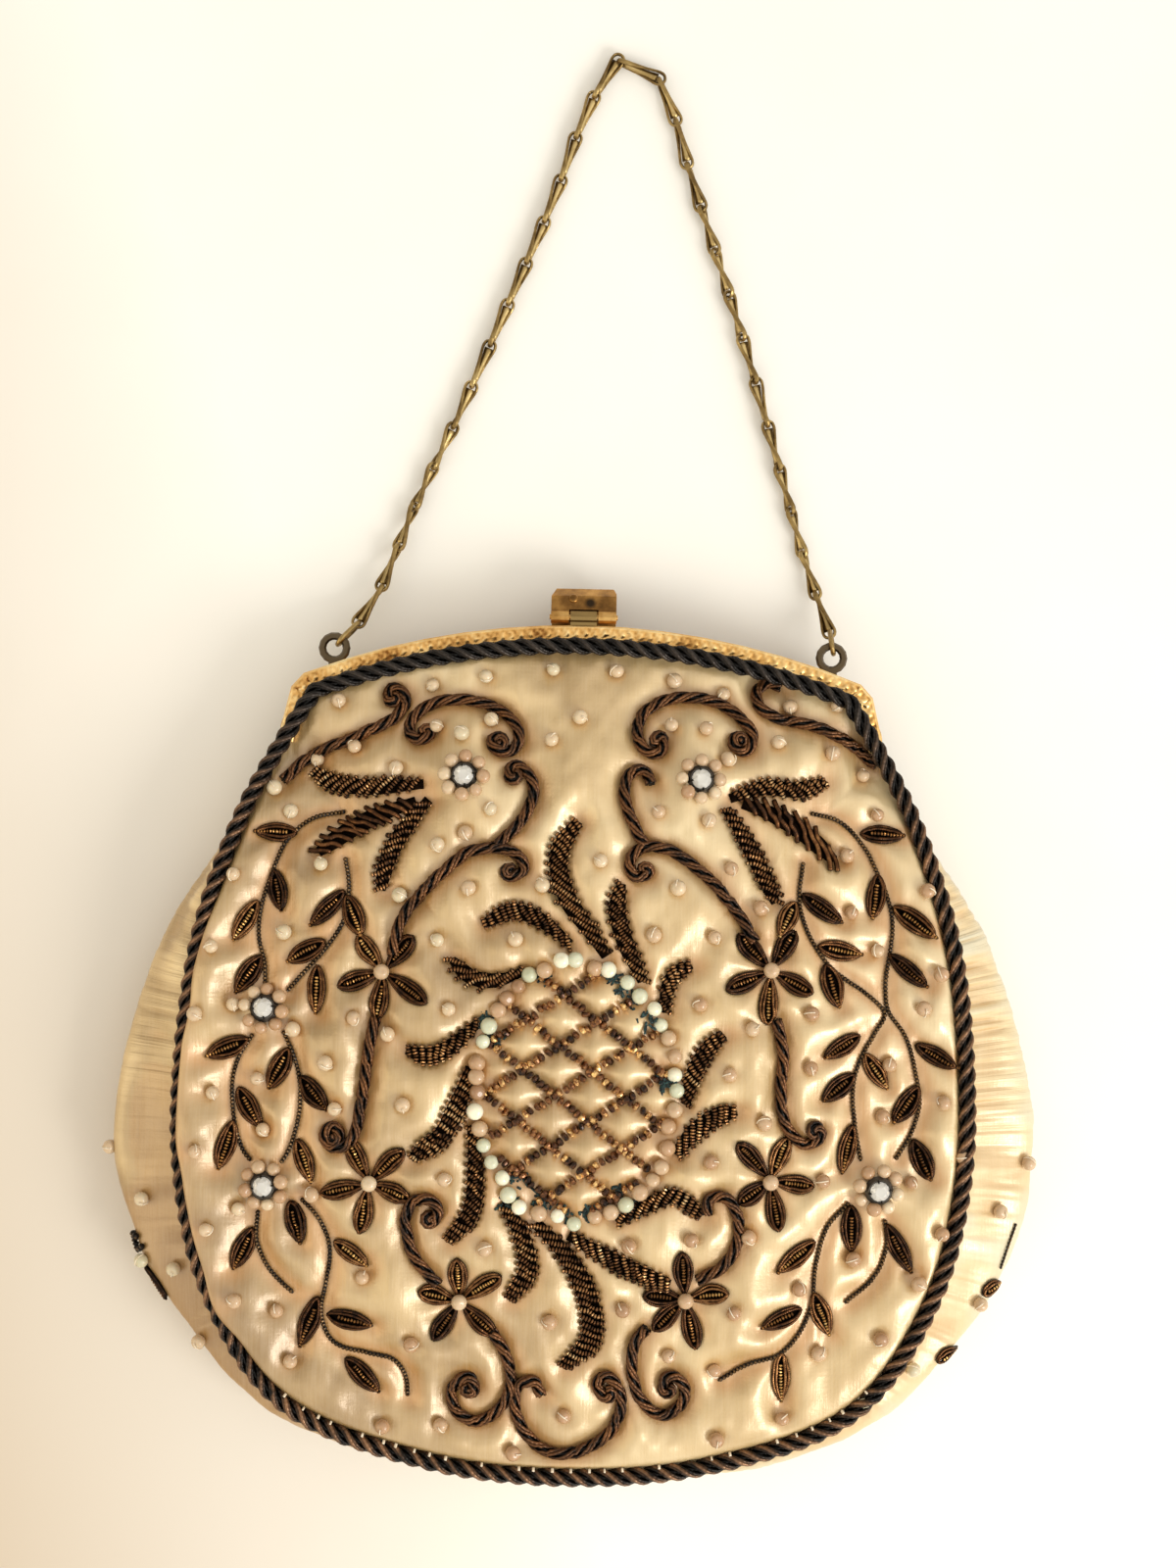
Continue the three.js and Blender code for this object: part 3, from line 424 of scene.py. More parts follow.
# Stamped band of the frame: steps along and across, and the pitch of its leaves, veins and bloom
BAND_STEP = 0.3
BAND_CUTS = 15
BAND_MARGIN = 0.25
BAND_LEAF = 1.9
BAND_LEAF_WAVE = 0.22
BAND_VEIN = 0.95
BAND_VEIN_SLANT = 1.1
BAND_BLOOM = 0.7
BAND_BLOOM_ROWS = 4
# Heights in the band, and the place and width of its beaded edges as shares of its width
BAND_FIELD_HIGH = 0.06
BAND_LEAF_HIGH = 0.24
BAND_VEIN_HIGH = 0.09
BAND_BLOOM_HIGH = 0.13
BAND_EDGE_HIGH = 0.18
BAND_EDGE = 0.04
BAND_EDGE_WIDE = 0.05
BAND_CROWN = 0.6
BAND_RIM = -0.05
BAND_SINK = 0.08

# Table, and light in metres: a window at the lower right, a room that is brighter on that side, and a warm
# wall at the left
TABLE_HALF = 2.0
TABLE_DROP = 0.0002
WINDOW_WAY = (0.68, -0.42, 0.60)
WINDOW_LAMP = {
    "place": (0.56, -0.38, 0.55), "aim": (0.0, 0.02, 0.0),
    "size": 0.36, "power": 3.6, "colour": (1.0, 0.99, 0.95),
}
WALL_LAMP = {
    "place": (-0.58, -0.10, 0.26), "aim": (-0.05, 0.0, 0.0),
    "size": 0.5, "power": 0.9, "colour": (1.0, 0.88, 0.58),
}
ROOM_LIGHT = (0.46, 1.25)
ROOM_SIDES = (-0.5, 1.0)
ROOM_COLOURS = [(0.0, (1.0, 0.925, 0.83, 1.0)), (1.0, (1.0, 0.985, 0.935, 1.0))]
# The table has painted shade towards the lower left, from the first distance to the second
FLOOR_DIM_WAY = (-1.0, -0.35, 0.0)
FLOOR_DIM = (0.03, 0.17)

# Cloth relief of the front. Rows of hills are height, width, length, slant and seed.
FRONT_CELLS = 248
HILLS = [(1.1, 19.0, 19.0, 0.0, 3), (0.6, 7.5, 7.5, 0.0, 5)]
HILL_LEAST = 0.35
CREASES = [(0.3, 3.4, 8.0, 0.1, 8), (0.3, 4.3, 4.3, 0.0, 9)]
CRINKLES = [(0.27, 2.1, 2.7, 0.0, 10)]
PUFF = 2.8
PUFF_WIDTH = 3.5
PILLOW_WIDTH = 2.3
DIMPLE = 1.45
DIMPLE_WIDTH = 2.7
RELIEF_FADE = 4.0
RELIEF_HEM = 0.4
# Shift that puts painted shade on the side of each stitched line away from the window
SHADED_SIDE_SHIFT = (1.7, -0.3)
# Roll of satin along the edge, which ends below the frame
EDGE_ROLL = 3.3
EDGE_ROLL_FOOT = 2.3
EDGE_ROLL_REACH = 9.0
EDGE_ROLL_TOP = 62.0
EDGE_ROLL_FADE = 25.0
# How far the satin hangs over the cord at the left, how much higher it stands there, and how wide that lip is
OVERHANG = 2.6
OVERHANG_RISE = 1.9
OVERHANG_REACH = 6.0
# Where the lip starts and how far it takes to its full size, from the right, the bottom and the top
LIP_RIGHT = (-30.0, 30.0)
LIP_BOTTOM = (-72.0, 25.0)
LIP_TOP = (40.0, 30.0)
LIP_MEAN = 0.8
LIP_WAVE = 0.35
LIP_PITCH = 8.5
# Painted shade in the satin's colour beside the stitches, on their side away from the window, round pearls
# and along the lip: how strong, and how wide
PAINTED_SHADE_HELD = (0.8, 2.0)
PAINTED_SHADE_AWAY = (0.7, 2.2)
PAINTED_SHADE_PINNED = (0.6, 2.0)
PAINTED_SHADE_LIP = (0.6, 3.5)

# Cloth relief of the back
BACK_CELLS = 120
BACK_RIPPLES = [(0.5, 16.0, 30.0, 0.0, 21), (0.25, 6.0, 12.0, 0.0, 22)]
BACK_MEAN = 0.5
BACK_LIFT = 0.9
BACK_FADE = 8.0
BACK_HEM = 0.3

# Cloth relief of the gusset. Rows of gathers are depth, pitch along, turns across and seed. Rows of folds
# have a slant before the turns, and only sink in.
GUSSET_STEP = 0.42
GUSSET_CUTS = 31
GUSSET_COARSE = 5
GUSSET_LIFT = 0.4
GUSSET_LAP = 0.2
GUSSET_SAG = 1.25
GUSSET_ROUND = 0.9
GUSSET_SLACK = 4.0
GUSSET_LEAST = 0.15
GATHERS = [(1.1, 1.1, 0.9, 31), (1.6, 2.7, 1.0, 32)]
FOLDS = [(1.5, 10.0, 0.5, 2.2, 33), (0.9, 5.0, 0.0, 4.0, 35)]
DRAPES = [(0.8, 38.0, 0.0, 5.0, 36)]
FOLD_SINK = 0.6
# Gathers end below this height and are weaker at the left, and lie mostly on the front half
GATHER_FOOT = (20.0, 50.0)
GATHER_LOW_LOSS = 0.75
GATHER_LEFT_LOSS = 0.6
GATHER_FRONT = (0.55, 0.35)
GATHER_LEAST = 0.3
LEFT_REACH = 30.0
# Crease along the left side: depth, place and width across, and how it wanders
CREASE = 1.1
CREASE_PLACE = 0.60
CREASE_WIDE = 0.06
CREASE_WANDER = 0.05
CREASE_PITCH = 15.0
# Shares of the strip that stay plain at the front and the back seam
PLAIN_FRONT = 0.06
PLAIN_BACK = 0.1
# Fine gathers in the weave: how many to a millimetre, how deep, and the height and fade where they end
GATHER_PITCH = 0.9
GATHER_DEPTH = 14.0
GATHER_SHOWN = (-30.0, 40.0)
# The gusset carries painted light, which a run below nought tells the material. Its folds pull it back
# towards the front's colour, as painted shade.
GUSSET_PAINTED_LIGHT = -0.8
GUSSET_FOLD_PAINTED_SHADE = 0.8
GUSSET_FOLD_PAINTED_SHADE_MOST = 1.2

# Colours as they look on a screen. Rows of shades start with their place in the ramp.
# Near-black painted shade in the hollows of wire and coil, and low on each wire
PAINTED_SHADE_COLOUR = (11, 7, 4)
SATIN_SHADES = [(0.10, 152, 118, 66), (0.34, 189, 156, 101), (0.52, 210, 179, 124), (0.75, 226, 201, 152)]
# Warm painted shade beside the stitches, round pearls, under the lip and in the gusset's folds
SATIN_PAINTED_SHADE = (196, 142, 76)
# Painted light on the gusset: warmer and paler at the left, whiter and duller at the right
SATIN_PAINTED_LIGHT_LEFT = (255, 226, 170)
SATIN_PAINTED_LIGHT_RIGHT = (205, 200, 175)
SATIN_THREAD = (248, 236, 210)
PEARL_SHADES = [
    (0.0, 138, 98, 64), (0.25, 184, 146, 108), (0.5, 214, 191, 157),
    (0.75, 192, 194, 164), (1.0, 238, 232, 206),
]
# Bead shades: random bronze tones from near black, with painted gold glints at the top
BEAD_SHADES = [(0.28, 30, 18, 10), (0.46, 94, 57, 31), (0.60, 148, 98, 56), (0.74, 250, 206, 134)]
FOIL_SHADES = [(0.35, 150, 140, 126), (0.6, 246, 244, 238)]
CRYSTAL_COLOUR = (255, 252, 245)
TABLE_SHADES = [(0.3, 246, 242, 233), (0.7, 250, 247, 240)]
TABLE_PAINTED_SHADE = (205, 188, 166)
GOLD_SHADES = [(0.22, 140, 92, 44), (0.40, 222, 170, 98), (0.60, 248, 208, 140), (0.85, 255, 236, 184)]
BROWN_SHADES = [(0.25, 70, 48, 28), (0.45, 132, 94, 50), (0.62, 182, 136, 74), (0.85, 222, 180, 112)]
OLIVE_SHADES = [(0.25, 78, 60, 34), (0.45, 126, 102, 62), (0.62, 164, 138, 88), (0.85, 208, 182, 126)]
KNUCKLE_COLOUR = (150, 124, 78)
RING_COLOUR = (96, 82, 62)
STAIN_COLOUR = (58, 46, 34)
# The lightest stops of the wire shades are painted glints
DULL_WIRE = [(0.30, 44, 25, 12), (0.55, 102, 64, 34), (0.80, 172, 122, 74)]
BRIGHT_WIRE = [(0.30, 96, 62, 32), (0.50, 168, 116, 62), (0.66, 220, 170, 98), (0.82, 250, 218, 152)]
PLUME_WIRE = [(0.28, 66, 42, 24), (0.46, 138, 94, 58), (0.62, 196, 144, 92), (0.78, 252, 220, 166)]
# Near-black padding under leaves and plumes, which shows dark between their wires
DARK_PADDING_SHADES = [(0.35, 10, 6, 4), (0.8, 30, 19, 12)]
WHITE_THREAD = [(0.3, 214, 192, 158), (0.7, 246, 234, 212)]
# Teal thread, darkened to carry painted shade beside the pearls
VERDIGRIS_AND_SHADE_THREAD = [(0.4, 13, 21, 22), (0.8, 62, 98, 94)]
# Cords: dark and light, and for the edge cord what replaces the light near the frame
EDGE_COLOURS = ((20, 14, 10), (142, 104, 74), (70, 61, 54))
SCROLL_COLOURS = ((26, 15, 8), (118, 76, 42))
VINE_COLOURS = ((30, 20, 10), (130, 98, 58))
# The cup's colours give its dark metal and also painted shadow round each stone
CUP_AND_SHADOW_COLOURS = ((16, 14, 13), (84, 78, 70))

# Makings that have no size of their own
UP = (0.0, 0.0, 1.0)
UPRIGHT = 2.0
LAID_UPRIGHT = 0.6
NOISE_CELLS = 64
TURNED_ASIDE = (0.31, 0.95, 0.05)


# Numbers and paths
def tone(red, green, blue):
    """A colour given as it looks on a screen, as linear light."""
    shares = [channel / 255 for channel in (red, green, blue)]
    light = [s / 12.92 if s <= 0.04045 else ((s + 0.055) / 1.055) ** 2.4 for s in shares]
    return (*light, 1.0)


def shades(rows):
    """Stops of a colour ramp, from rows of place, red, green and blue."""
    return [(place, tone(*colour)) for place, *colour in rows]


def smooth(share):
    """A soft step from nought to one."""
    t = np.clip(share, 0, 1)
    return t * t * (3 - 2 * t)


def bell(distance, width):
    return np.exp(-((distance / width) ** 2))


def unit(ways):
    return ways / np.maximum(np.linalg.norm(ways, axis=-1, keepdims=True), 1e-9)


def gone(path, closed=False):
    """Distance covered at each point of a path, and the whole length."""
    loop = np.vstack([path, path[:1]]) if closed else path
    run = np.concatenate([[0], np.cumsum(np.linalg.norm(np.diff(loop, axis=0), axis=1))])
    return (run[:-1], run[-1]) if closed else (run, run[-1])


def resampled(path, step, closed=False):
    """The same path with its points an even step apart."""
    loop = np.vstack([path, path[:1]]) if closed else path
    run, length = gone(loop)
    count = max(2, round(length / step))
    stops = np.linspace(0, length, count + 1)
    if closed:
        stops = stops[:-1]
    return np.stack([np.interp(stops, run, loop[:, k]) for k in range(loop.shape[1])], axis=1)


def spline(rows, step, closed=False, cuts=12):
    """Even points on a smooth curve through the rows."""
    rows = np.asarray(rows, float)
    if closed:
        ring = np.vstack([rows[-1:], rows, rows[:2]])
    else:
        ring = np.vstack([2 * rows[:1] - rows[1:2], rows, 2 * rows[-1:] - rows[-2:-1]])
    fine = []
    for a, b, c, d in zip(ring, ring[1:], ring[2:], ring[3:]):
        gaps = [np.linalg.norm(q - p) ** 0.5 for p, q in ((a, b), (b, c), (c, d))]
        k = np.concatenate([[0], np.cumsum(gaps)])
        t = np.linspace(k[1], k[2], cuts, endpoint=False)[:, None]
        ab = a + (b - a) * (t - k[0]) / (k[1] - k[0])
        bc = b + (c - b) * (t - k[1]) / (k[2] - k[1])
        cd = c + (d - c) * (t - k[2]) / (k[3] - k[2])
        abc = ab + (bc - ab) * (t - k[0]) / (k[2] - k[0])
        bcd = bc + (cd - bc) * (t - k[1]) / (k[3] - k[1])
        fine.append(abc + (bcd - abc) * (t - k[1]) / (k[2] - k[1]))
    if not closed:
        fine.append(rows[-1:])
    return resampled(np.vstack(fine), step, closed)


def inset_path(path, distance):
    """An open plan path moved to its right-hand side, with mitred corners."""
    runs = unit(np.diff(path, axis=0))
    sides = np.stack([runs[:, 1], -runs[:, 0]], axis=1)
    before = np.vstack([sides[:1], sides])
    after = np.vstack([sides, sides[-1:]])
    middle = unit(before + after)
    return path + middle * (distance / np.sum(middle * before, axis=1, keepdims=True))


def value_noise(x, y, seed):
    """Soft random hills from -1 to 1, about one unit apart."""
    grid = np.random.default_rng(seed).uniform(-1, 1, (NOISE_CELLS, NOISE_CELLS))
    column, row = np.floor(x).astype(int), np.floor(y).astype(int)
    fx, fy = smooth(x - column), smooth(y - row)

    def corner(up, right):
        return grid[(row + up) % NOISE_CELLS, (column + right) % NOISE_CELLS]

    low = corner(0, 0) * (1 - fx) + corner(0, 1) * fx
    high = corner(1, 0) * (1 - fx) + corner(1, 1) * fx
    return low * (1 - fy) + high * fy


def hills(rows, x, y):
    """Hills of several sizes: height, width, length, slant and seed of each."""
    field = 0
    for high, wide, tall, slant, seed in rows:
        field = field + high * value_noise(x / wide + slant * y, y / tall, seed)
    return field


def softened(field, times):
    """A field of heights with each point drawn towards its neighbours."""
    for _ in range(times):
        wide = np.pad(field, 1, mode="edge")
        sides = wide[:-2, 1:-1] + wide[2:, 1:-1] + wide[1:-1, :-2] + wide[1:-1, 2:]
        field = (2 * field + sides) / 6
    return field


def distance_to(places, x, y):
    """Distance in plan from each point to the nearest of the places."""
    tree = KDTree(len(places))
    for i, place in enumerate(places):
        tree.insert((place[0], place[1], 0), i)
    tree.balance()
    spans = [tree.find((*place, 0))[2] for place in zip(x.ravel(), y.ravel())]
    return np.array(spans).reshape(x.shape)


# The photograph's pixels in the frame of the bag
def seen_at(u, v, z):
    """Plan place of what shows at a pixel and lies at height z."""
    reach = (CAMERA_Z - z) / FOCAL_PX
    right = (u - PHOTO_WIDE / 2) * reach
    up = (PHOTO_TALL / 2 - v) * reach
    x = CAMERA_X + right * math.cos(CAMERA_ROLL) - up * math.sin(CAMERA_ROLL)
    y = CAMERA_Y + right * math.sin(CAMERA_ROLL) + up * math.cos(CAMERA_ROLL)
    return x, y


def on_panel(panel, pixels):
    """Plan places of pixels that show the panel."""
    pixels = np.asarray(pixels, float)
    z = np.full(len(pixels), CROWN_Z)
    for _ in range(6):
        x, y = seen_at(pixels[:, 0], pixels[:, 1], z)
        z = panel.z(x, y)
    return np.stack([x, y], axis=1)


def px(pixels):
    """Length on the front panel of a length in pixels."""
    return pixels * (CAMERA_Z - CROWN_Z + 4) / FOCAL_PX


# Meshes
def grid_faces(rows, columns, wrap_rows=False, wrap_columns=False):
    """Four-sided faces between the points of a grid."""
    i = np.arange(rows if wrap_rows else rows - 1)
    j = np.arange(columns if wrap_columns else columns - 1)
    i, j = np.meshgrid(i, j, indexing="ij")
    k, m = (i + 1) % rows, (j + 1) % columns
    corners = [i * columns + j, k * columns + j, k * columns + m, i * columns + m]
    return np.stack(corners, axis=-1).reshape(-1, 4)


def tube_faces(rows, ring, closed=False):
    """Faces of a tube made of rings, with its ends capped unless it closes on itself."""
    faces = grid_faces(rows, ring, wrap_rows=closed, wrap_columns=True).tolist()
    if not closed:
        last = (rows - 1) * ring
        faces.append(list(range(ring)))
        faces.append([last + k for k in reversed(range(ring))])
    return faces


def facing_out(points, faces):
    """The faces of a closed mesh, turned over if they face inwards."""
    volume = 0.0
    for face in faces:
        a = points[face[0]]
        for second, third in zip(face[1:], face[2:]):
            volume += np.dot(a, np.cross(points[second], points[third]))
    return faces if volume > 0 else [list(face)[::-1] for face in faces]


def add_piece(name, points, faces, made, run=None, flat=False, body="bag"):
    mesh = bpy.data.meshes.new(name)
    mesh.from_pydata((np.asarray(points) * MM).tolist(), [], [list(face) for face in faces])
    mesh.polygons.foreach_set("use_smooth", [not flat] * len(mesh.polygons))
    mesh.materials.append(made)
    if run is not None:
        attribute = mesh.attributes.new("run", "FLOAT_VECTOR", "POINT")
        attribute.data.foreach_set("vector", np.asarray(run, float).ravel())
    piece = bpy.data.objects.new(name, mesh)
    bpy.context.scene.collection.objects.link(piece)
    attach(piece, body)
    return piece


class Batch:
    """Many small meshes in one piece. Its run holds distance along, how proud a point is, and a tint. Wire
    materials turn how proud a point is into painted shade low down and painted light on top.
    """

    def __init__(self):
        self.points = []
        self.faces = []
        self.run = []
        self.count = 0

    def add(self, points, faces, run):
        self.points.append(points)
        self.faces.extend([[i + self.count for i in face] for face in faces])
        self.run.append(run)
        self.count += len(points)

    def piece(self, name, made, slot, flat=False):
        return add_piece(name, np.vstack(self.points), self.faces, made, np.vstack(self.run), flat)


def frames(path, ups, closed=False):
    """Ways across and up at each point of a path, for a way that is roughly up."""
    loop = np.vstack([path[-1:], path, path[:1]]) if closed else path
    along = unit(np.gradient(loop, axis=0))
    if closed:
        along = along[1:-1]
    across = unit(np.cross(along, ups))
    return across, np.cross(across, along)


def add_tube(batch, path, ups, radius, sides, tint=0.5, closed=False, ribs=1.0, cord=None):
    """A tube along a path. Its top stands proud, or else its side away from the middle of its cord. Wire
    materials give the parts that are not proud painted shade.
    """
    count = len(path)
    across, up = frames(path, np.broadcast_to(ups, path.shape), closed)
    angle = TURN * (np.arange(sides) + 0.5) / sides
    spokes = across[:, None] * np.cos(angle)[:, None] + up[:, None] * np.sin(angle)[:, None]
    points = path[:, None] + spokes * np.broadcast_to(radius, count)[:, None, None]
    run = np.full((count, sides, 3), tint)
    run[..., 0] = gone(path, closed)[0][:, None]
    if cord is None:
        # Painted shade: the share falls from the top of the tube to nought on its lower half
        run[..., 1] = np.clip(np.sin(angle), 0, 1) ** 1.5 * np.broadcast_to(ribs, count)[:, None]
    else:
        middle, outer = cord
        # Painted shade: wires nearer the middle of their cord get less of their light colour
        share = np.linalg.norm(points - middle[:, None], axis=-1) / outer
        run[..., 1] = np.clip((share - PAINTED_SHADE_INNER_SHARE) / (1 - PAINTED_SHADE_INNER_SHARE), 0, 1)
    batch.add(points.reshape(-1, 3), tube_faces(count, sides, closed), run.reshape(-1, 3))


def plied(plies, ply, core):
    """Wires of a cord: a ply's wires repeated round it, then the core."""
    wires = []
    for k in range(plies):
        wires += [(360 * k / plies + angle, offset, radius) for angle, offset, radius in ply]
    return wires + [(0, 0.0, core)]


def add_cord(batch, path, ups, wires, lay, sides=6, closed=False):
    """Wires laid round each other along a path, each with its angle, its offset and its radius."""
    run, length = gone(path, closed)
    turns = round(length / lay) / length if closed else 1 / lay
    ups = np.broadcast_to(ups, path.shape)
    across, up = frames(path, ups, closed)
    outer = max(offset + radius for start, offset, radius in wires)
    for number, (start, offset, radius) in enumerate(wires):
        angle = (TURN * turns * run + math.radians(start))[:, None]
        wire = path + offset * (across * np.cos(angle) + up * np.sin(angle))
        add_tube(batch, wire, up, radius, sides, number / len(wires), closed, cord=(path, outer))


def add_coil(batch, path, ups, radius, rib, sides, tint):
    """A ribbed coil of flat wire along a path."""
    run, length = gone(path)
    fine = resampled(path, rib / 3)
    stops = np.linspace(0, length, len(fine))
    ups = np.broadcast_to(ups, path.shape)
    ups = np.stack([np.interp(stops, run, ups[:, k]) for k in range(3)], axis=1)
    # Grooves between ribs get nought, which the material turns into painted shade
    ribs = np.where(np.arange(len(fine)) % 3 == 0, 0.0, 1.0)
    swell = COIL_GROOVE + (1 - COIL_GROOVE) * ribs
    swell[[0, -1]] = COIL_END
    add_tube(batch, fine, ups, radius * swell, sides, tint, ribs=ribs)


def add_turned(batch, profile, sides, centre, axis, tint):
    """A turned shape: rows of radius and height along an axis."""
    axis = unit(np.asarray(axis, float))
    across = unit(np.cross(axis, TURNED_ASIDE))
    side = np.cross(axis, across)
    angle = TURN * np.arange(sides) / sides
    ring = across * np.cos(angle)[:, None] + side * np.sin(angle)[:, None]
    profile = np.asarray(profile, float)
    points = centre + ring[None] * profile[:, :1, None] + axis * profile[:, 1, None, None]
    run = np.zeros((len(profile), sides, 3))
    run[..., 0] = profile[:, 1, None]
    run[..., 1] = 1.0
    run[..., 2] = tint
    faces = [face[::-1] for face in tube_faces(len(profile), sides)]
    batch.add(points.reshape(-1, 3), faces, run.reshape(-1, 3))


class Skin:
    """A finished cloth surface that trimmings are set on."""

    def __init__(self, points, faces):
        triangles = [(face[0], b, c) for face in faces for b, c in zip(face[1:], face[2:])]
        self.tree = BVHTree.FromPolygons(points.tolist(), triangles, all_triangles=True)

    def under(self, plan):
        """Points of the cloth straight below plan places, with the ways out of the cloth."""
        return self.gathered([self.below(x, y) for x, y in plan])

    def below(self, x, y):
        hit = self.tree.ray_cast(Vector((x, y, 100)), Vector((0, 0, -1)))
        return hit if hit[0] is not None else self.tree.find_nearest(Vector((x, y, 20)))

    def seen(self, plan, z):
        """Points of the cloth in line with the camera and plan places at height z, or else the nearest."""
        eye = Vector((CAMERA_X, CAMERA_Y, CAMERA_Z))
        hits = []
        for x, y in plan:
            place = Vector((x, y, z))
            hit = self.tree.ray_cast(eye, place - eye)
            hits.append(hit if hit[0] is not None else self.tree.find_nearest(place))
        return self.gathered(hits)

    def lay(self, plan, lift):
        points, ways = self.under(plan)
        return points + lift * ways, ways

    def flat(self, ends, z):
        """A way to lay flat shapes from one seen place to another, and how far apart the two are."""
        points, ways = self.seen(ends, z)
        along = points[1] - points[0]
        length = np.linalg.norm(along)
        side = unit(np.cross(ways[0], along))

        def lay(plan, lift):
            spots, outward = self.nearest(points[0] + plan[:, :1] * along / length + plan[:, 1:] * side)
            return spots + lift * outward, outward

        return lay, length

    def nearest(self, points):
        return self.gathered([self.tree.find_nearest(Vector(point)) for point in points])

    def gathered(self, hits):
        return np.array([tuple(hit[0]) for hit in hits]), np.array([tuple(hit[1]) for hit in hits])


# Materials
def material(name, values):
    made = bpy.data.materials.new(name)
    made.use_nodes = True
    shader = made.node_tree.nodes["Principled BSDF"]
    for socket, value in values.items():
        shader.inputs[socket].default_value = value
    return made, shader


def node(made, kind, links=None, values=None, **settings):
    added = made.node_tree.nodes.new(kind)
    for key, value in settings.items():
        setattr(added, key, value)
    for key, value in (values or {}).items():
        added.inputs[key].default_value = value
    for key, source in (links or {}).items():
        made.node_tree.links.new(source, added.inputs[key])
    return added


def scaled(made, source, scale):
    return node(made, "ShaderNodeMapping", {"Vector": source}, {"Scale": scale}).outputs["Vector"]


def noise(made, source, scale, detail=2.0, rough=0.5):
    values = {"Scale": scale, "Detail": detail, "Roughness": rough}
    return node(made, "ShaderNodeTexNoise", {"Vector": source}, values).outputs["Fac"]


def ramp(made, source, stops):
    made_ramp = node(made, "ShaderNodeValToRGB", {"Fac": source})
    slots = made_ramp.color_ramp.elements
    while len(slots) < len(stops):
        slots.new(0.5)
    for slot, (place, colour) in zip(slots, stops):
        slot.position = place
        slot.color = colour
    return made_ramp.outputs["Color"]


def spread(made, source, low, high, to_low, to_high):
    values = {"From Min": low, "From Max": high, "To Min": to_low, "To Max": to_high}
    return node(made, "ShaderNodeMapRange", {"Value": source}, values).outputs["Result"]


def mixed(made, share, first, second, blend="MIX"):
    mix = node(made, "ShaderNodeMix", data_type="RGBA", blend_type=blend)
    tree = made.node_tree
    for place, source in ((0, share), (6, first), (7, second)):
        if isinstance(source, (int, float, tuple)):
            mix.inputs[place].default_value = source
        else:
            tree.links.new(source, mix.inputs[place])
    return mix.outputs[2]


def maths(made, operation, first, second):
    sum_node = node(made, "ShaderNodeMath", operation=operation)
    for place, source in enumerate((first, second)):
        if isinstance(source, (int, float)):
            sum_node.inputs[place].default_value = source
        else:
            made.node_tree.links.new(source, sum_node.inputs[place])
    return sum_node.outputs["Value"]


def set_bump(made, shader, height, depth, strength=1.0):
    """Relief of the given depth in millimetres."""
    values = {"Distance": depth * MM, "Strength": strength}
    relief = node(made, "ShaderNodeBump", {"Height": height}, values)
    made.node_tree.links.new(relief.outputs["Normal"], shader.inputs["Normal"])


def joined(made, source, shader, socket):
    made.node_tree.links.new(source, shader.inputs[socket])


def place_of(made):
    return node(made, "ShaderNodeTexCoord").outputs["Object"]


def run_of(made):
    """The piece's run as a whole, and its parts: distance along, how proud a point is, and the tint."""
    whole = node(made, "ShaderNodeAttribute", attribute_name="run").outputs["Vector"]
    parts = node(made, "ShaderNodeSeparateXYZ", {"Vector": whole}).outputs
    return {"whole": whole, "along": parts["X"], "proud": parts["Y"], "tint": parts["Z"]}


def toward_of(made, place, way):
    """How far a place lies along a way."""
    return node(made, "ShaderNodeVectorMath", {0: place}, {1: way}, operation="DOT_PRODUCT").outputs["Value"]


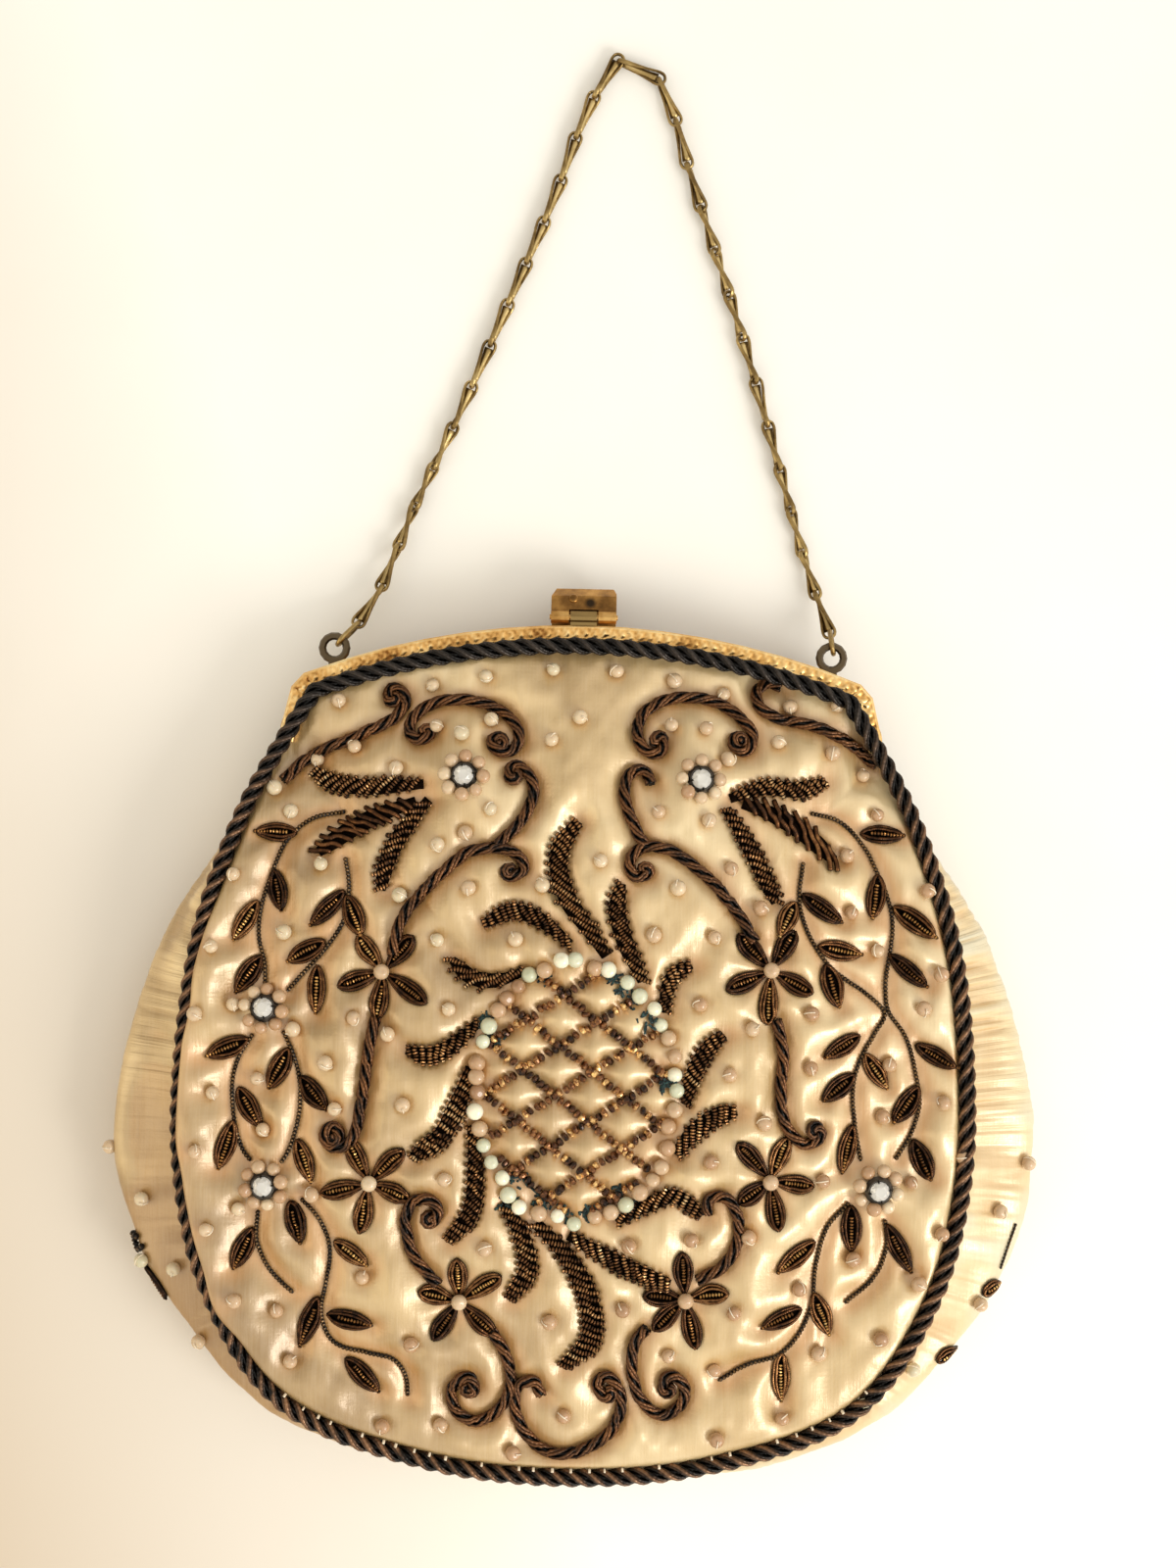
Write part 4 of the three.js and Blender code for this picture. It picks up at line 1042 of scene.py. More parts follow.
def satin_material():
    """Satin with random mottling, painted shade towards the lower left and painted light towards the right,
    warm painted shade beside the stitches and in the gusset's folds, and painted light on the gusset.
    Gathered cloth has a fine relief.
    """
    made, shader = material("champagne_satin", {"Metallic": 0.2, "Specular IOR Level": 1.0, "IOR": 1.7})
    place = place_of(made)
    plan = node(made, "ShaderNodeSeparateXYZ", {"Vector": place}).outputs
    run = run_of(made)
    painted_light_and_shade = run["tint"]
    warp = noise(made, scaled(made, place, (2600, 140, 140)), 1.0, 2.0)
    weft = noise(made, scaled(made, place, (160, 1900, 160)), 1.0, 1.0)
    grain = noise(made, place, 1500, 2.0, 0.6)
    pulls = noise(made, scaled(made, run["whole"], (GATHER_PITCH, 0.8, 0.0)), 1.0, 3.0, 0.6)
    mottle_and_painted_light = noise(made, place, 34, 4.0, 0.6)
    # Random mottle, with painted shade towards the bottom and the left and painted light towards the right
    mottle_and_painted_light = maths(made, "ADD", mottle_and_painted_light, spread(made, plan["Y"], -0.06, 0.05, -0.14, 0.0))
    mottle_and_painted_light = maths(made, "ADD", mottle_and_painted_light, spread(made, plan["X"], -0.07, 0.07, -0.20, 0.20))
    cloth = ramp(made, mottle_and_painted_light, shades(SATIN_SHADES))
    # Warm painted shade where the run marks it
    cloth = mixed(made, spread(made, painted_light_and_shade, 0.12, 0.95, 0.0, 0.85), cloth, tone(*SATIN_PAINTED_SHADE))
    # Painted light on the gusset, warmer at the left and whiter at the right
    right = spread(made, run["along"], 150, 250, 0.0, 1.0)
    painted_gusset_light = mixed(made, right, tone(*SATIN_PAINTED_LIGHT_LEFT), tone(*SATIN_PAINTED_LIGHT_RIGHT))
    cloth = mixed(made, spread(made, painted_light_and_shade, 0.0, -1.0, 0.0, 1.0), cloth, painted_gusset_light)
    cloth = mixed(made, spread(made, warp, 0.3, 0.7, 0.0, 0.07), cloth, tone(*SATIN_THREAD))
    joined(made, cloth, shader, "Base Color")
    joined(made, spread(made, warp, 0.25, 0.75, 0.32, 0.42), shader, "Roughness")
    weave = maths(made, "ADD", warp, maths(made, "MULTIPLY", weft, 0.5))
    weave = maths(made, "ADD", weave, maths(made, "MULTIPLY", grain, 1.1))
    pulled = maths(made, "MULTIPLY", pulls, maths(made, "MULTIPLY", run["proud"], GATHER_DEPTH))
    set_bump(made, shader, maths(made, "ADD", weave, pulled), 0.06, 0.7)
    return made


def metal_cord_material(name, dark, light, upper=None):
    """Wrapped wire with random wear: painted shade, near black, in the hollows and low on each wire, and
    painted light where it stands proud.
    """
    made, shader = material(name, {"Metallic": 0.6, "Specular IOR Level": 0.5})
    place = place_of(made)
    run = run_of(made)
    wraps = maths(made, "SINE", maths(made, "MULTIPLY", run["along"], 7.0), 0.0)
    wear = noise(made, place, 260, 3.0, 0.6)
    # Random wear, with painted light added on the proud parts
    wear_and_painted_light = maths(made, "ADD", wear, spread(made, run["proud"], 0.3, 1.0, -0.12, 0.14))
    colour = ramp(made, wear_and_painted_light, [(0.34, tone(*dark)), (0.74, tone(*light))])
    if upper:
        height = node(made, "ShaderNodeSeparateXYZ", {"Vector": place}).outputs["Y"]
        high = spread(made, height, 0.045, 0.070, 0.0, 1.0)
        colour = mixed(made, high, colour, ramp(made, wear_and_painted_light, [(0.34, tone(*dark)), (0.80, tone(*upper))]))
    # Painted shade: the hollow colour where the wire is not proud
    clear = spread(made, run["proud"], 0.12, 0.90, 0.0, 1.0)
    joined(made, mixed(made, clear, tone(*PAINTED_SHADE_COLOUR), colour), shader, "Base Color")
    joined(made, spread(made, wear, 0.2, 0.8, 0.44, 0.24), shader, "Roughness")
    set_bump(made, shader, wraps, 0.06, 0.5)
    return made


def purl_material(name, rows, roughness):
    """Coiled wire with painted glints from random noise, and painted shade in the grooves between ribs and
    low on each wire.
    """
    made, shader = material(name, {"Metallic": 0.85, "Specular IOR Level": 0.6})
    run = run_of(made)
    # Random painted glints, which also set the roughness
    painted_glints = noise(made, place_of(made), 900, 2.0, 0.6)
    row = maths(made, "ADD", maths(made, "MULTIPLY", painted_glints, 0.7), maths(made, "MULTIPLY", run["tint"], 0.3))
    # Painted shade: the hollow colour where the wire is not proud
    clear = spread(made, run["proud"], 0.15, 0.90, 0.0, 1.0)
    colour = mixed(made, clear, tone(*PAINTED_SHADE_COLOUR), ramp(made, row, shades(rows)))
    joined(made, colour, shader, "Base Color")
    joined(made, spread(made, painted_glints, 0.3, 0.7, roughness + 0.10, roughness - 0.06), shader, "Roughness")
    ribs = maths(made, "SINE", maths(made, "MULTIPLY", run["along"], 14.0), 0.0)
    set_bump(made, shader, ribs, 0.03, 0.4)
    return made


def brass_material(name, rows, roughness, relief=0.05):
    """Old plated brass: worn bright where it stands proud, brown where dirt stays."""
    made, shader = material(name, {"Metallic": 1.0})
    place = place_of(made)
    patina = noise(made, place, 160, 5.0, 0.65)
    grain = noise(made, place, 1400, 3.0, 0.6)
    edge = node(made, "ShaderNodeNewGeometry").outputs["Pointiness"]
    proud = spread(made, edge, 0.44, 0.60, -0.25, 0.25)
    age = maths(made, "ADD", patina, proud)
    joined(made, ramp(made, age, shades(rows)), shader, "Base Color")
    joined(made, spread(made, patina, 0.25, 0.75, roughness + 0.15, roughness - 0.08), shader, "Roughness")
    set_bump(made, shader, grain, relief, 0.7)
    return made


def spotted(made, places, reach, soft, colour):
    """The same material with another colour round some places."""
    shader = made.node_tree.nodes["Principled BSDF"]
    plain = shader.inputs["Base Color"].links[0].from_socket
    place = place_of(made)
    for spot in places:
        centre = tuple(value * MM for value in spot)
        gap = node(made, "ShaderNodeVectorMath", {0: place}, {1: centre}, operation="DISTANCE")
        share = spread(made, gap.outputs["Value"], reach * MM, (reach + soft) * MM, 1.0, 0.0)
        plain = mixed(made, share, plain, tone(*colour))
    joined(made, plain, shader, "Base Color")
    return made


def pearl_material():
    values = {
        "Roughness": 0.22,
        "Subsurface Weight": 0.25,
        "Subsurface Radius": (0.9, 0.65, 0.4),
        "Subsurface Scale": 0.0012,
        "Coat Weight": 0.35,
        "Coat Roughness": 0.12,
    }
    made, shader = material("milk_glass_pearl", values)
    cloud = noise(made, place_of(made), 900, 2.0, 0.5)
    drift = maths(made, "MULTIPLY", maths(made, "SUBTRACT", cloud, 0.5), 0.14)
    shade = maths(made, "ADD", run_of(made)["tint"], drift)
    joined(made, ramp(made, shade, shades(PEARL_SHADES)), shader, "Base Color")
    set_bump(made, shader, cloud, 0.02, 0.4)
    return made


def bead_material():
    values = {"Metallic": 0.8, "Coat Weight": 0.25, "Coat Roughness": 0.08}
    made, shader = material("bronze_seed_bead", values)
    # Random tone within each bead, with painted gold glints
    tone_and_painted_glints = noise(made, place_of(made), 1300, 2.0, 0.6)
    tint = maths(made, "MULTIPLY", run_of(made)["tint"], 0.4)
    shade = maths(made, "ADD", tint, maths(made, "MULTIPLY", tone_and_painted_glints, 0.6))
    joined(made, ramp(made, shade, shades(BEAD_SHADES)), shader, "Base Color")
    joined(made, spread(made, tone_and_painted_glints, 0.3, 0.7, 0.18, 0.34), shader, "Roughness")
    return made


def thread_material(name, rows, sheen=0.2):
    made, shader = material(name, {"Roughness": 0.7, "Sheen Weight": sheen, "Specular IOR Level": sheen})
    fuzz = noise(made, place_of(made), 1800, 2.0, 0.6)
    joined(made, ramp(made, fuzz, shades(rows)), shader, "Base Color")
    set_bump(made, shader, fuzz, 0.06, 0.6)
    return made


def crystal_material():
    values = {"Roughness": 0.03, "IOR": 1.6, "Transmission Weight": 0.55, "Base Color": tone(*CRYSTAL_COLOUR)}
    made, shader = material("cut_crystal", values)
    flaws = noise(made, place_of(made), 900, 2.0, 0.5)
    set_bump(made, shader, flaws, 0.01, 0.2)
    return made


def foil_material():
    made, shader = material("stone_foil", {"Metallic": 1.0, "Roughness": 0.12})
    tarnish = noise(made, place_of(made), 700, 3.0, 0.6)
    joined(made, ramp(made, tarnish, shades(FOIL_SHADES)), shader, "Base Color")
    return made


def floor_material():
    made, shader = material("white_table", {"Roughness": 0.75, "Specular IOR Level": 0.25})
    place = place_of(made)
    mottle = noise(made, place, 9, 4.0, 0.6)
    white = ramp(made, mottle, shades(TABLE_SHADES))
    # Painted shade on the table towards the lower left
    floor_painted_shade = spread(made, toward_of(made, place, FLOOR_DIM_WAY), *FLOOR_DIM, 0.0, 1.0)
    joined(made, mixed(made, floor_painted_shade, white, tone(*TABLE_PAINTED_SHADE)), shader, "Base Color")
    return made


# Plan of the pouch and the frame
def arch_y(x):
    return FRAME_TOP_Y - ARCH_RADIUS + np.sqrt(ARCH_RADIUS**2 - x * x)


def frame_edge():
    """Outer edge of the frame in plan, from the left leg's end over the arch to the right leg's end."""
    corner = np.array([CORNER_X, arch_y(CORNER_X)])
    end = np.array(LEG_END)
    shoulder = corner + CORNER_BLUNT * unit(end - corner)
    x = np.linspace(CORNER_BLUNT - CORNER_X, CORNER_X - CORNER_BLUNT, 61)
    arch = np.stack([x, arch_y(x)], axis=1)
    left = np.array([end, shoulder]) * (-1, 1)
    return np.vstack([left, arch, shoulder, end])


def seam_rows(step):
    """Points along the seams from the left leg round the bottom to the right leg, with the ways out."""
    left = [(-half, y, front, back, bulge) for y, half, front, back, bulge in SECTIONS]
    right = [(half, y, front, back, bulge) for y, half, front, back, bulge in reversed(SECTIONS[:-1])]
    rows = spline(left + right, step)
    run = unit(np.gradient(rows[:, :2], axis=0))
    return rows, np.stack([run[:, 1], -run[:, 0]], axis=1)


class Panel:
    """A panel of the pouch, as heights over its plan, by azimuth about the middle."""

    def __init__(self, edge, height):
        azimuth = np.arctan2(edge[:, 1], edge[:, 0])
        order = np.argsort(azimuth)
        self.azimuth = azimuth[order]
        self.radius = np.hypot(edge[:, 0], edge[:, 1])[order]
        self.edge_z = edge[order, 2]
        self.height = height

    def reach(self, azimuth):
        return np.interp(azimuth, self.azimuth, self.radius, period=TURN)

    def z(self, x, y):
        azimuth = np.arctan2(y, x)
        share = np.hypot(x, y) / (self.reach(azimuth) - HEM)
        edge_z = np.interp(azimuth, self.azimuth, self.edge_z, period=TURN)
        return self.height(edge_z, np.clip(share, 0, 1))

    def grid(self, cells):
        """A square grid bent to the panel's outline, as x and y of its points."""
        a, b = np.meshgrid(np.linspace(-1, 1, cells + 1), np.linspace(-1, 1, cells + 1))
        wide = np.abs(a) > np.abs(b)
        ratio = np.where(wide, b, a) / np.where(wide, a, np.where(b == 0, 1, b))
        radius = np.where(wide, a, b)
        angle = np.where(wide, ratio, 2 - ratio) * math.pi / 4
        x, y = radius * np.cos(angle), radius * np.sin(angle)
        reach = self.reach(np.arctan2(y, x))
        return x * reach, y * reach

    def edge_room(self, x, y):
        return self.reach(np.arctan2(y, x)) - np.hypot(x, y)


def crown_height(edge_z, share):
    return edge_z + (CROWN_Z - edge_z) * (1 - share**CROWN_POWER)


def rest_height(edge_z, share):
    return FLOOR_CLEAR + (edge_z - FLOOR_CLEAR) * smooth((share - REST_SHARE) / (1 - REST_SHARE))


def panel_edge(rows, height_column, inset, tuck_z):
    seam = rows[:, [0, 1, height_column]]
    tucked = resampled(inset_path(frame_edge(), inset), 1.0)[::-1]
    return np.vstack([seam, np.column_stack([tucked, np.full(len(tucked), tuck_z)])])


def rim_loop(cells):
    """Indices of a square grid's border, once round."""
    side = cells + 1
    bottom = [j for j in range(cells)]
    right = [i * side + cells for i in range(cells)]
    top = [cells * side + cells - j for j in range(cells)]
    left = [(cells - i) * side for i in range(cells)]
    return bottom + right + top + left


def innermost(lift, wall):
    """The relief at every fourth point, as deep as it gets round there on the wall's inner side."""
    side = len(lift)
    wide = np.pad(lift, 4, mode="edge")
    near = [wide[i : i + side : 4, j : j + side : 4] for i in range(9) for j in range(9)]
    return np.max(near, axis=0) if wall > 0 else np.min(near, axis=0)


def shell(panel, lift, cells, wall, push=0.0):
    """A closed wall: a fine outer face, which may be pushed outwards, a coarse inner face, and a rim."""
    x, y = panel.grid(cells)
    further = 1 + push / np.maximum(np.hypot(x, y), 1.0)
    outer = np.stack([x * further, y * further, panel.z(x, y) + lift], axis=-1).reshape(-1, 3)
    coarse = cells // 4
    x, y = panel.grid(coarse)
    inner = np.stack([x, y, panel.z(x, y) + innermost(lift, wall) + wall], axis=-1).reshape(-1, 3)
    faces = grid_faces(cells + 1, cells + 1).tolist()
    faces += [[i + len(outer) for i in face[::-1]] for face in grid_faces(coarse + 1, coarse + 1).tolist()]
    fine_rim, coarse_rim = rim_loop(cells), rim_loop(coarse)
    for j in range(len(coarse_rim)):
        near = coarse_rim[j] + len(outer)
        far = coarse_rim[(j + 1) % len(coarse_rim)] + len(outer)
        t = [fine_rim[(4 * j + k) % len(fine_rim)] for k in range(5)]
        faces += [[t[0], t[1], near], [t[1], t[2], near], [t[2], far, near]]
        faces += [[t[2], t[3], far], [t[3], t[4], far]]
    points = np.vstack([outer, inner])
    return points, facing_out(points, faces)


# Cloth pieces
def couched_places(panel):
    """Plan places where the embroidery holds the satin down, and where pearls pin it."""
    lines = [spline(rows, HELD_STEP) for rows in SCROLLS + VINES]
    lines += [spline(ends, HELD_STEP) for ends in LEAVES]
    lines += [spline(rows, PLUME_HELD_STEP) for rows, wide, leans in PLUMES + SATIN_LEAVES]
    lines += [spline([middle, petal], HELD_STEP) for middle, petals in FLOWERS for petal in petals]
    lines += [np.stack([u, v], axis=1) for u, v in lattice_lines()]
    held = on_panel(panel, np.vstack(lines))
    pinned = on_panel(panel, PEARLS + [(u, v) for u, v, colour in RING_PEARLS])
    return held, pinned


def in_medallion(panel, x, y):
    """One well inside the medallion, and nought outside it."""
    middle = on_panel(panel, [(MEDALLION_U, MEDALLION_V)])[0]
    halves = px(MEDALLION_HALF_U), px(MEDALLION_HALF_V)
    share = np.hypot((x - middle[0]) / halves[0], (y - middle[1]) / halves[1])
    return smooth(MEDALLION_FADE * (1 - share))


def left_lip(x, y):
    """One where the satin hangs over the cord, at the left, and nought elsewhere."""
    right = smooth((LIP_RIGHT[0] - x) / LIP_RIGHT[1])
    bottom = smooth((y - LIP_BOTTOM[0]) / LIP_BOTTOM[1])
    top = smooth((LIP_TOP[0] - y) / LIP_TOP[1])
    return right * bottom * top * (LIP_MEAN + LIP_WAVE * value_noise(y / LIP_PITCH, 0 * y, 14))


def front_relief(panel, cells):
    """Lift of the satin, its painted shade, and how far it is pushed outwards over the cord."""
    x, y = panel.grid(cells)
    held, pinned = couched_places(panel)
    far = distance_to(held, x, y)
    pin = distance_to(pinned, x, y)
    # Painted shade on the side of the stitched lines away from the window
    shaded_side = distance_to(held + np.array(SHADED_SIDE_SHIFT), x, y)
    room = panel.edge_room(x, y)
    inside = in_medallion(panel, x, y)
    lip = left_lip(x, y)
    puff = PUFF * (1 - bell(far, PUFF_WIDTH + (PILLOW_WIDTH - PUFF_WIDTH) * inside))
    swells = hills(HILLS, x, y) * (HILL_LEAST + (1 - HILL_LEAST) * puff / PUFF)
    fade = smooth(room / RELIEF_FADE - RELIEF_HEM)
    lift = puff - DIMPLE * bell(pin, DIMPLE_WIDTH) - PUFF / 2 + swells + hills(CREASES, x, y)
    lift = softened(softened(lift * fade, 3) + hills(CRINKLES, x, y) * fade, 1)
    foot = smooth(room / EDGE_ROLL_FOOT)
    roll = (EDGE_ROLL + OVERHANG_RISE * lip) * foot * bell(room, EDGE_ROLL_REACH)
    lift = lift + roll * smooth((EDGE_ROLL_TOP - y) / EDGE_ROLL_FADE)
    push = OVERHANG * lip * foot * bell(room, OVERHANG_REACH)
    # Painted shade in the colour: beside stitches, on their shaded side, round pearls and under the lip
    painted_shade = PAINTED_SHADE_HELD[0] * bell(far, PAINTED_SHADE_HELD[1]) + PAINTED_SHADE_AWAY[0] * (1 - inside) * bell(shaded_side, PAINTED_SHADE_AWAY[1])
    painted_shade = painted_shade + PAINTED_SHADE_PINNED[0] * bell(pin, PAINTED_SHADE_PINNED[1]) + PAINTED_SHADE_LIP[0] * lip * bell(room, PAINTED_SHADE_LIP[1])
    return lift, np.clip(softened(painted_shade, 3), 0, 1), push


def front_satin(panel, made):
    lift, painted_shade, push = front_relief(panel, FRONT_CELLS)
    points, faces = shell(panel, lift, FRONT_CELLS, -PANEL_WALL, push)
    run = np.zeros((len(points), 3))
    # The painted shade goes to the material through the run
    run[: painted_shade.size, 2] = painted_shade.ravel()
    piece = add_piece("front_satin", points, faces, made, run)
    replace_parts(piece, "front_panel")
    return Skin(points, faces)


def back_satin(panel, made):
    x, y = panel.grid(BACK_CELLS)
    fade = smooth(panel.edge_room(x, y) / BACK_FADE - BACK_HEM)
    ripples = np.maximum(BACK_MEAN + hills(BACK_RIPPLES, x, y), 0)
    lift = softened(BACK_LIFT * ripples * fade, 4)
    points, faces = shell(panel, lift, BACK_CELLS, PANEL_WALL)
    piece = add_piece("back_satin", points, faces, made, np.zeros((len(points), 3)))
    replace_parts(piece, "back_panel")


def sunk_folds(rows, along, across):
    """Soft folds that only sink in: depth, pitch along, slant, turns across and seed of each."""
    folds = 0.0
    for depth, pitch, slant, turns, seed in rows:
        hill = value_noise(along / pitch + slant * across, turns * across, seed)
        folds = folds + depth * (hill - FOLD_SINK)
    return folds


def gusset_relief(rows, length, across):
    """Gathers that run from the front seam, slack folds lower down, and a crease along the left side."""
    along = length[:, None]
    low = smooth((GATHER_FOOT[0] - rows[:, 1]) / GATHER_FOOT[1])[:, None]
    left = smooth(-rows[:, 0] / LEFT_REACH)[:, None]
    front = smooth((GATHER_FRONT[0] - across) / GATHER_FRONT[1])
    top = GATHER_LEAST + (1 - GATHER_LEAST) * front
    gathers = 0.0
    for depth, pitch, turns, seed in GATHERS:
        gathers = gathers - depth * (1 - np.abs(value_noise(along / pitch, turns * across, seed))) ** 2
    gathers = gathers * top * (1 - GATHER_LOW_LOSS * low) * (1 - GATHER_LEFT_LOSS * left)
    folds = sunk_folds(FOLDS, along, across) * low * top
    drapes = sunk_folds(DRAPES, along, across) * left
    wander = CREASE_WANDER * value_noise(along / CREASE_PITCH, 0 * across, 34)
    crease = -CREASE * bell(across - CREASE_PLACE - wander, CREASE_WIDE) * left
    plain = smooth(across / PLAIN_FRONT) * smooth((1 - across) / PLAIN_BACK)
    return (gathers + folds + drapes + crease) * plain


def lowest_near(field, reach):
    """At each point, the lowest value within the reach along the rows and columns."""
    count = 2 * reach + 1
    wide = np.pad(field, reach, mode="edge")
    wide = np.min([wide[i : i + field.shape[0]] for i in range(count)], axis=0)
    return np.min([wide[:, j : j + field.shape[1]] for j in range(count)], axis=0)


def gusset_satin(made):
    rows, out = seam_rows(GUSSET_STEP)
    length = gone(rows[:, :2])[0]
    across = np.linspace(0, 1, GUSSET_CUTS)[None]
    front_z, back_z, bulge = rows[:, 2, None], rows[:, 3, None], np.maximum(rows[:, 4, None], 0)
    swell = GUSSET_LIFT + bulge * np.clip(np.sin(math.pi * across**GUSSET_SAG), 0, 1) ** GUSSET_ROUND
    z = front_z - GUSSET_LAP + (back_z - front_z + 2 * GUSSET_LAP) * across
    slope_out, slope_z = np.gradient(swell, axis=1), np.gradient(z, axis=1)
    size = np.hypot(slope_out, slope_z)
    way_out, way_z = -slope_z / size, slope_out / size
    relief = gusset_relief(rows, length, across) * smooth(bulge / GUSSET_SLACK + GUSSET_LEAST)
    outer = GUSSET_WALL + relief
    inner = lowest_near(relief, GUSSET_COARSE)
    back = slice(None, None, -GUSSET_COARSE)
    ring_out = np.hstack([swell + way_out * outer, (swell + way_out * inner)[:, back]])
    ring_z = np.hstack([z + way_z * outer, (z + way_z * inner)[:, back]])
    ring_z = np.maximum(ring_z, FLOOR_CLEAR)
    x = rows[:, :1] + out[:, :1] * ring_out
    y = rows[:, 1:2] + out[:, 1:] * ring_out
    points = np.stack([x, y, ring_z], axis=-1).reshape(-1, 3)
    faces = facing_out(points, tube_faces(*ring_out.shape))
    run = np.zeros((*ring_out.shape, 3))
    run[..., 0] = length[:, None]
    run[..., 1] = smooth((rows[:, 1, None] - GATHER_SHOWN[0]) / GATHER_SHOWN[1])
    # Painted light on the gusset, pulled back in its hollows as painted shade
    run[..., 2] = GUSSET_PAINTED_LIGHT
    run[:, :GUSSET_CUTS, 2] += np.clip(-GUSSET_FOLD_PAINTED_SHADE * relief, 0, GUSSET_FOLD_PAINTED_SHADE_MOST)
    piece = add_piece("gusset_satin", points, faces, made, run)
    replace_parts(piece, "gusset")
    return Skin(points, faces)


def edge_cord(name, node_name, height_column, rise, inset, frame_z, step, made):
    rows, out = seam_rows(9.0)
    low = rows[:, 1] < CORD_FREE_Y
    seam = np.column_stack([rows[low, :2] + CORD_OUT * out[low], rows[low, height_column] + rise])
    tucked = resampled(inset_path(frame_edge(), inset), 3.0)[::-1]
    tucked = tucked[tucked[:, 1] > CORD_FRAME_Y]
    top = np.column_stack([tucked, np.full(len(tucked), frame_z)])
    path = spline(np.vstack([seam, top]), step, closed=True)
    batch = Batch()
    add_cord(batch, path, UP, plied(EDGE_PLIES, EDGE_PLY, EDGE_CORE), EDGE_LAY, closed=True)
    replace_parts(batch.piece(name, made, "metal_cord"), node_name)
    return path


def cord_stitches(path, made):
    """Stitches that show as white specks between the plies, along the bottom of the front cord."""
    rng = np.random.default_rng(37)
    batch = Batch()
    across, up = frames(path, np.broadcast_to(UP, path.shape), closed=True)
    run, length = gone(path, closed=True)
    for k in np.searchsorted(run, np.arange(0, length, STITCH_GAP)) - 1:
        if path[k, 1] > STITCH_TOP_Y or rng.random() > STITCH_SHARE:
            continue
        inward = across[k] * -math.copysign(1, across[k] @ path[k])
        aside = np.cross(inward, up[k]) * rng.uniform(*STITCH_STRAY)
        stitch = np.array([path[k] + inward * out + up[k] * high for out, high in STITCH])
        add_tube(batch, resampled(stitch + aside, 0.3), up[k], rng.uniform(*STITCH_RADIUS), 6, rng.random())
    batch.piece("cord_stitches", made, "thread")


# Embroidery
def laid(skin, plan, step, lift):
    """A plan line laid on the satin."""
    points, ways = skin.under(resampled(plan, step))
    ways = unit(ways + (0, 0, LAID_UPRIGHT))
    return points + lift * ways, ways


def wound_on(plan):
    """A plan line whose last curl winds on into a knob. A line without a curl stays as it is."""
    line = resampled(plan, CURL_STEP)
    ways = np.diff(line, axis=0)
    headings = np.unwrap(np.arctan2(ways[:, 1], ways[:, 0]))
    bend = headings[-1] - headings[-CURL_LOOK]
    if abs(bend) < CURL_LEAST:
        return line
    heading = headings[-1]
    for radius in KNOB_RADII:
        heading += math.copysign(CURL_STEP / radius, bend)
        onward = line[-1] + CURL_STEP * np.array([math.cos(heading), math.sin(heading)])
        line = np.vstack([line, onward])
    return line


def scroll_cords(skin, panel, made):
    batch = Batch()
    for rows in SCROLLS:
        plan = wound_on(on_panel(panel, spline(rows, CHART_STEP)))
        plan = wound_on(plan[::-1])
        path, ways = laid(skin, plan, SCROLL_STEP, SCROLL_LIFT)
        add_cord(batch, path, ways, plied(SCROLL_PLIES, SCROLL_PLY, SCROLL_CORE), SCROLL_LAY)
    batch.piece("scroll_cords", made, "metal_cord")


def vine_threads(skin, gusset, panel, made):
    batch = Batch()
    for rows in VINES:
        path, ways = laid(skin, on_panel(panel, spline(rows, CHART_STEP)), VINE_STEP, VINE_LIFT)
        add_coil(batch, path, ways, VINE_RADIUS, VINE_RIB, 6, 0.5)
    for pixels, radius in ((GUSSET_VINE, GUSSET_VINE_RADIUS), (GUSSET_CURL, GUSSET_CURL_RADIUS)):
        path, ways = beside(gusset, pixels, VINE_STEP, radius)
        add_coil(batch, path, ways, radius, VINE_RIB, 6, 0.5)
    batch.piece("vine_threads", made, "metal_cord", flat=True)


def beside(gusset, pixels, step, lift):
    """A line through charted pixels at the outline, laid on the gusset."""
    line = spline(pixels, CHART_STEP)
    points, ways = gusset.seen(np.column_stack(seen_at(line[:, 0], line[:, 1], GUSSET_Z)), GUSSET_Z)
    path = resampled(points + lift * ways, step)
    return path, gusset.nearest(path)[1]


def add_padding(batch, lay, path, halves, high):
    """A low filling under rows of wire, along a plan path."""
    along = unit(np.gradient(path, axis=0))
    side = np.stack([-along[:, 1], along[:, 0]], axis=1)
    across = np.linspace(-1, 1, PADDING_CUTS)
    plan = path[:, None] + side[:, None] * (halves[:, None] * across)[..., None]
    points, ways = lay(plan.reshape(-1, 2), 0.0)
    points, ways = points.reshape(len(path), -1, 3), ways.reshape(len(path), -1, 3)
    lift = PADDING_LOW + high * np.sqrt(1 - across**2)
    top = points + ways * lift[:, None]
    bottom = points - ways * PADDING_LOW
    corners = np.concatenate([top, bottom[:, ::-1]], axis=1).reshape(-1, 3)
    faces = facing_out(corners - corners[0], tube_faces(len(path), 2 * PADDING_CUTS))
    batch.add(corners, faces, np.zeros((len(corners), 3)))


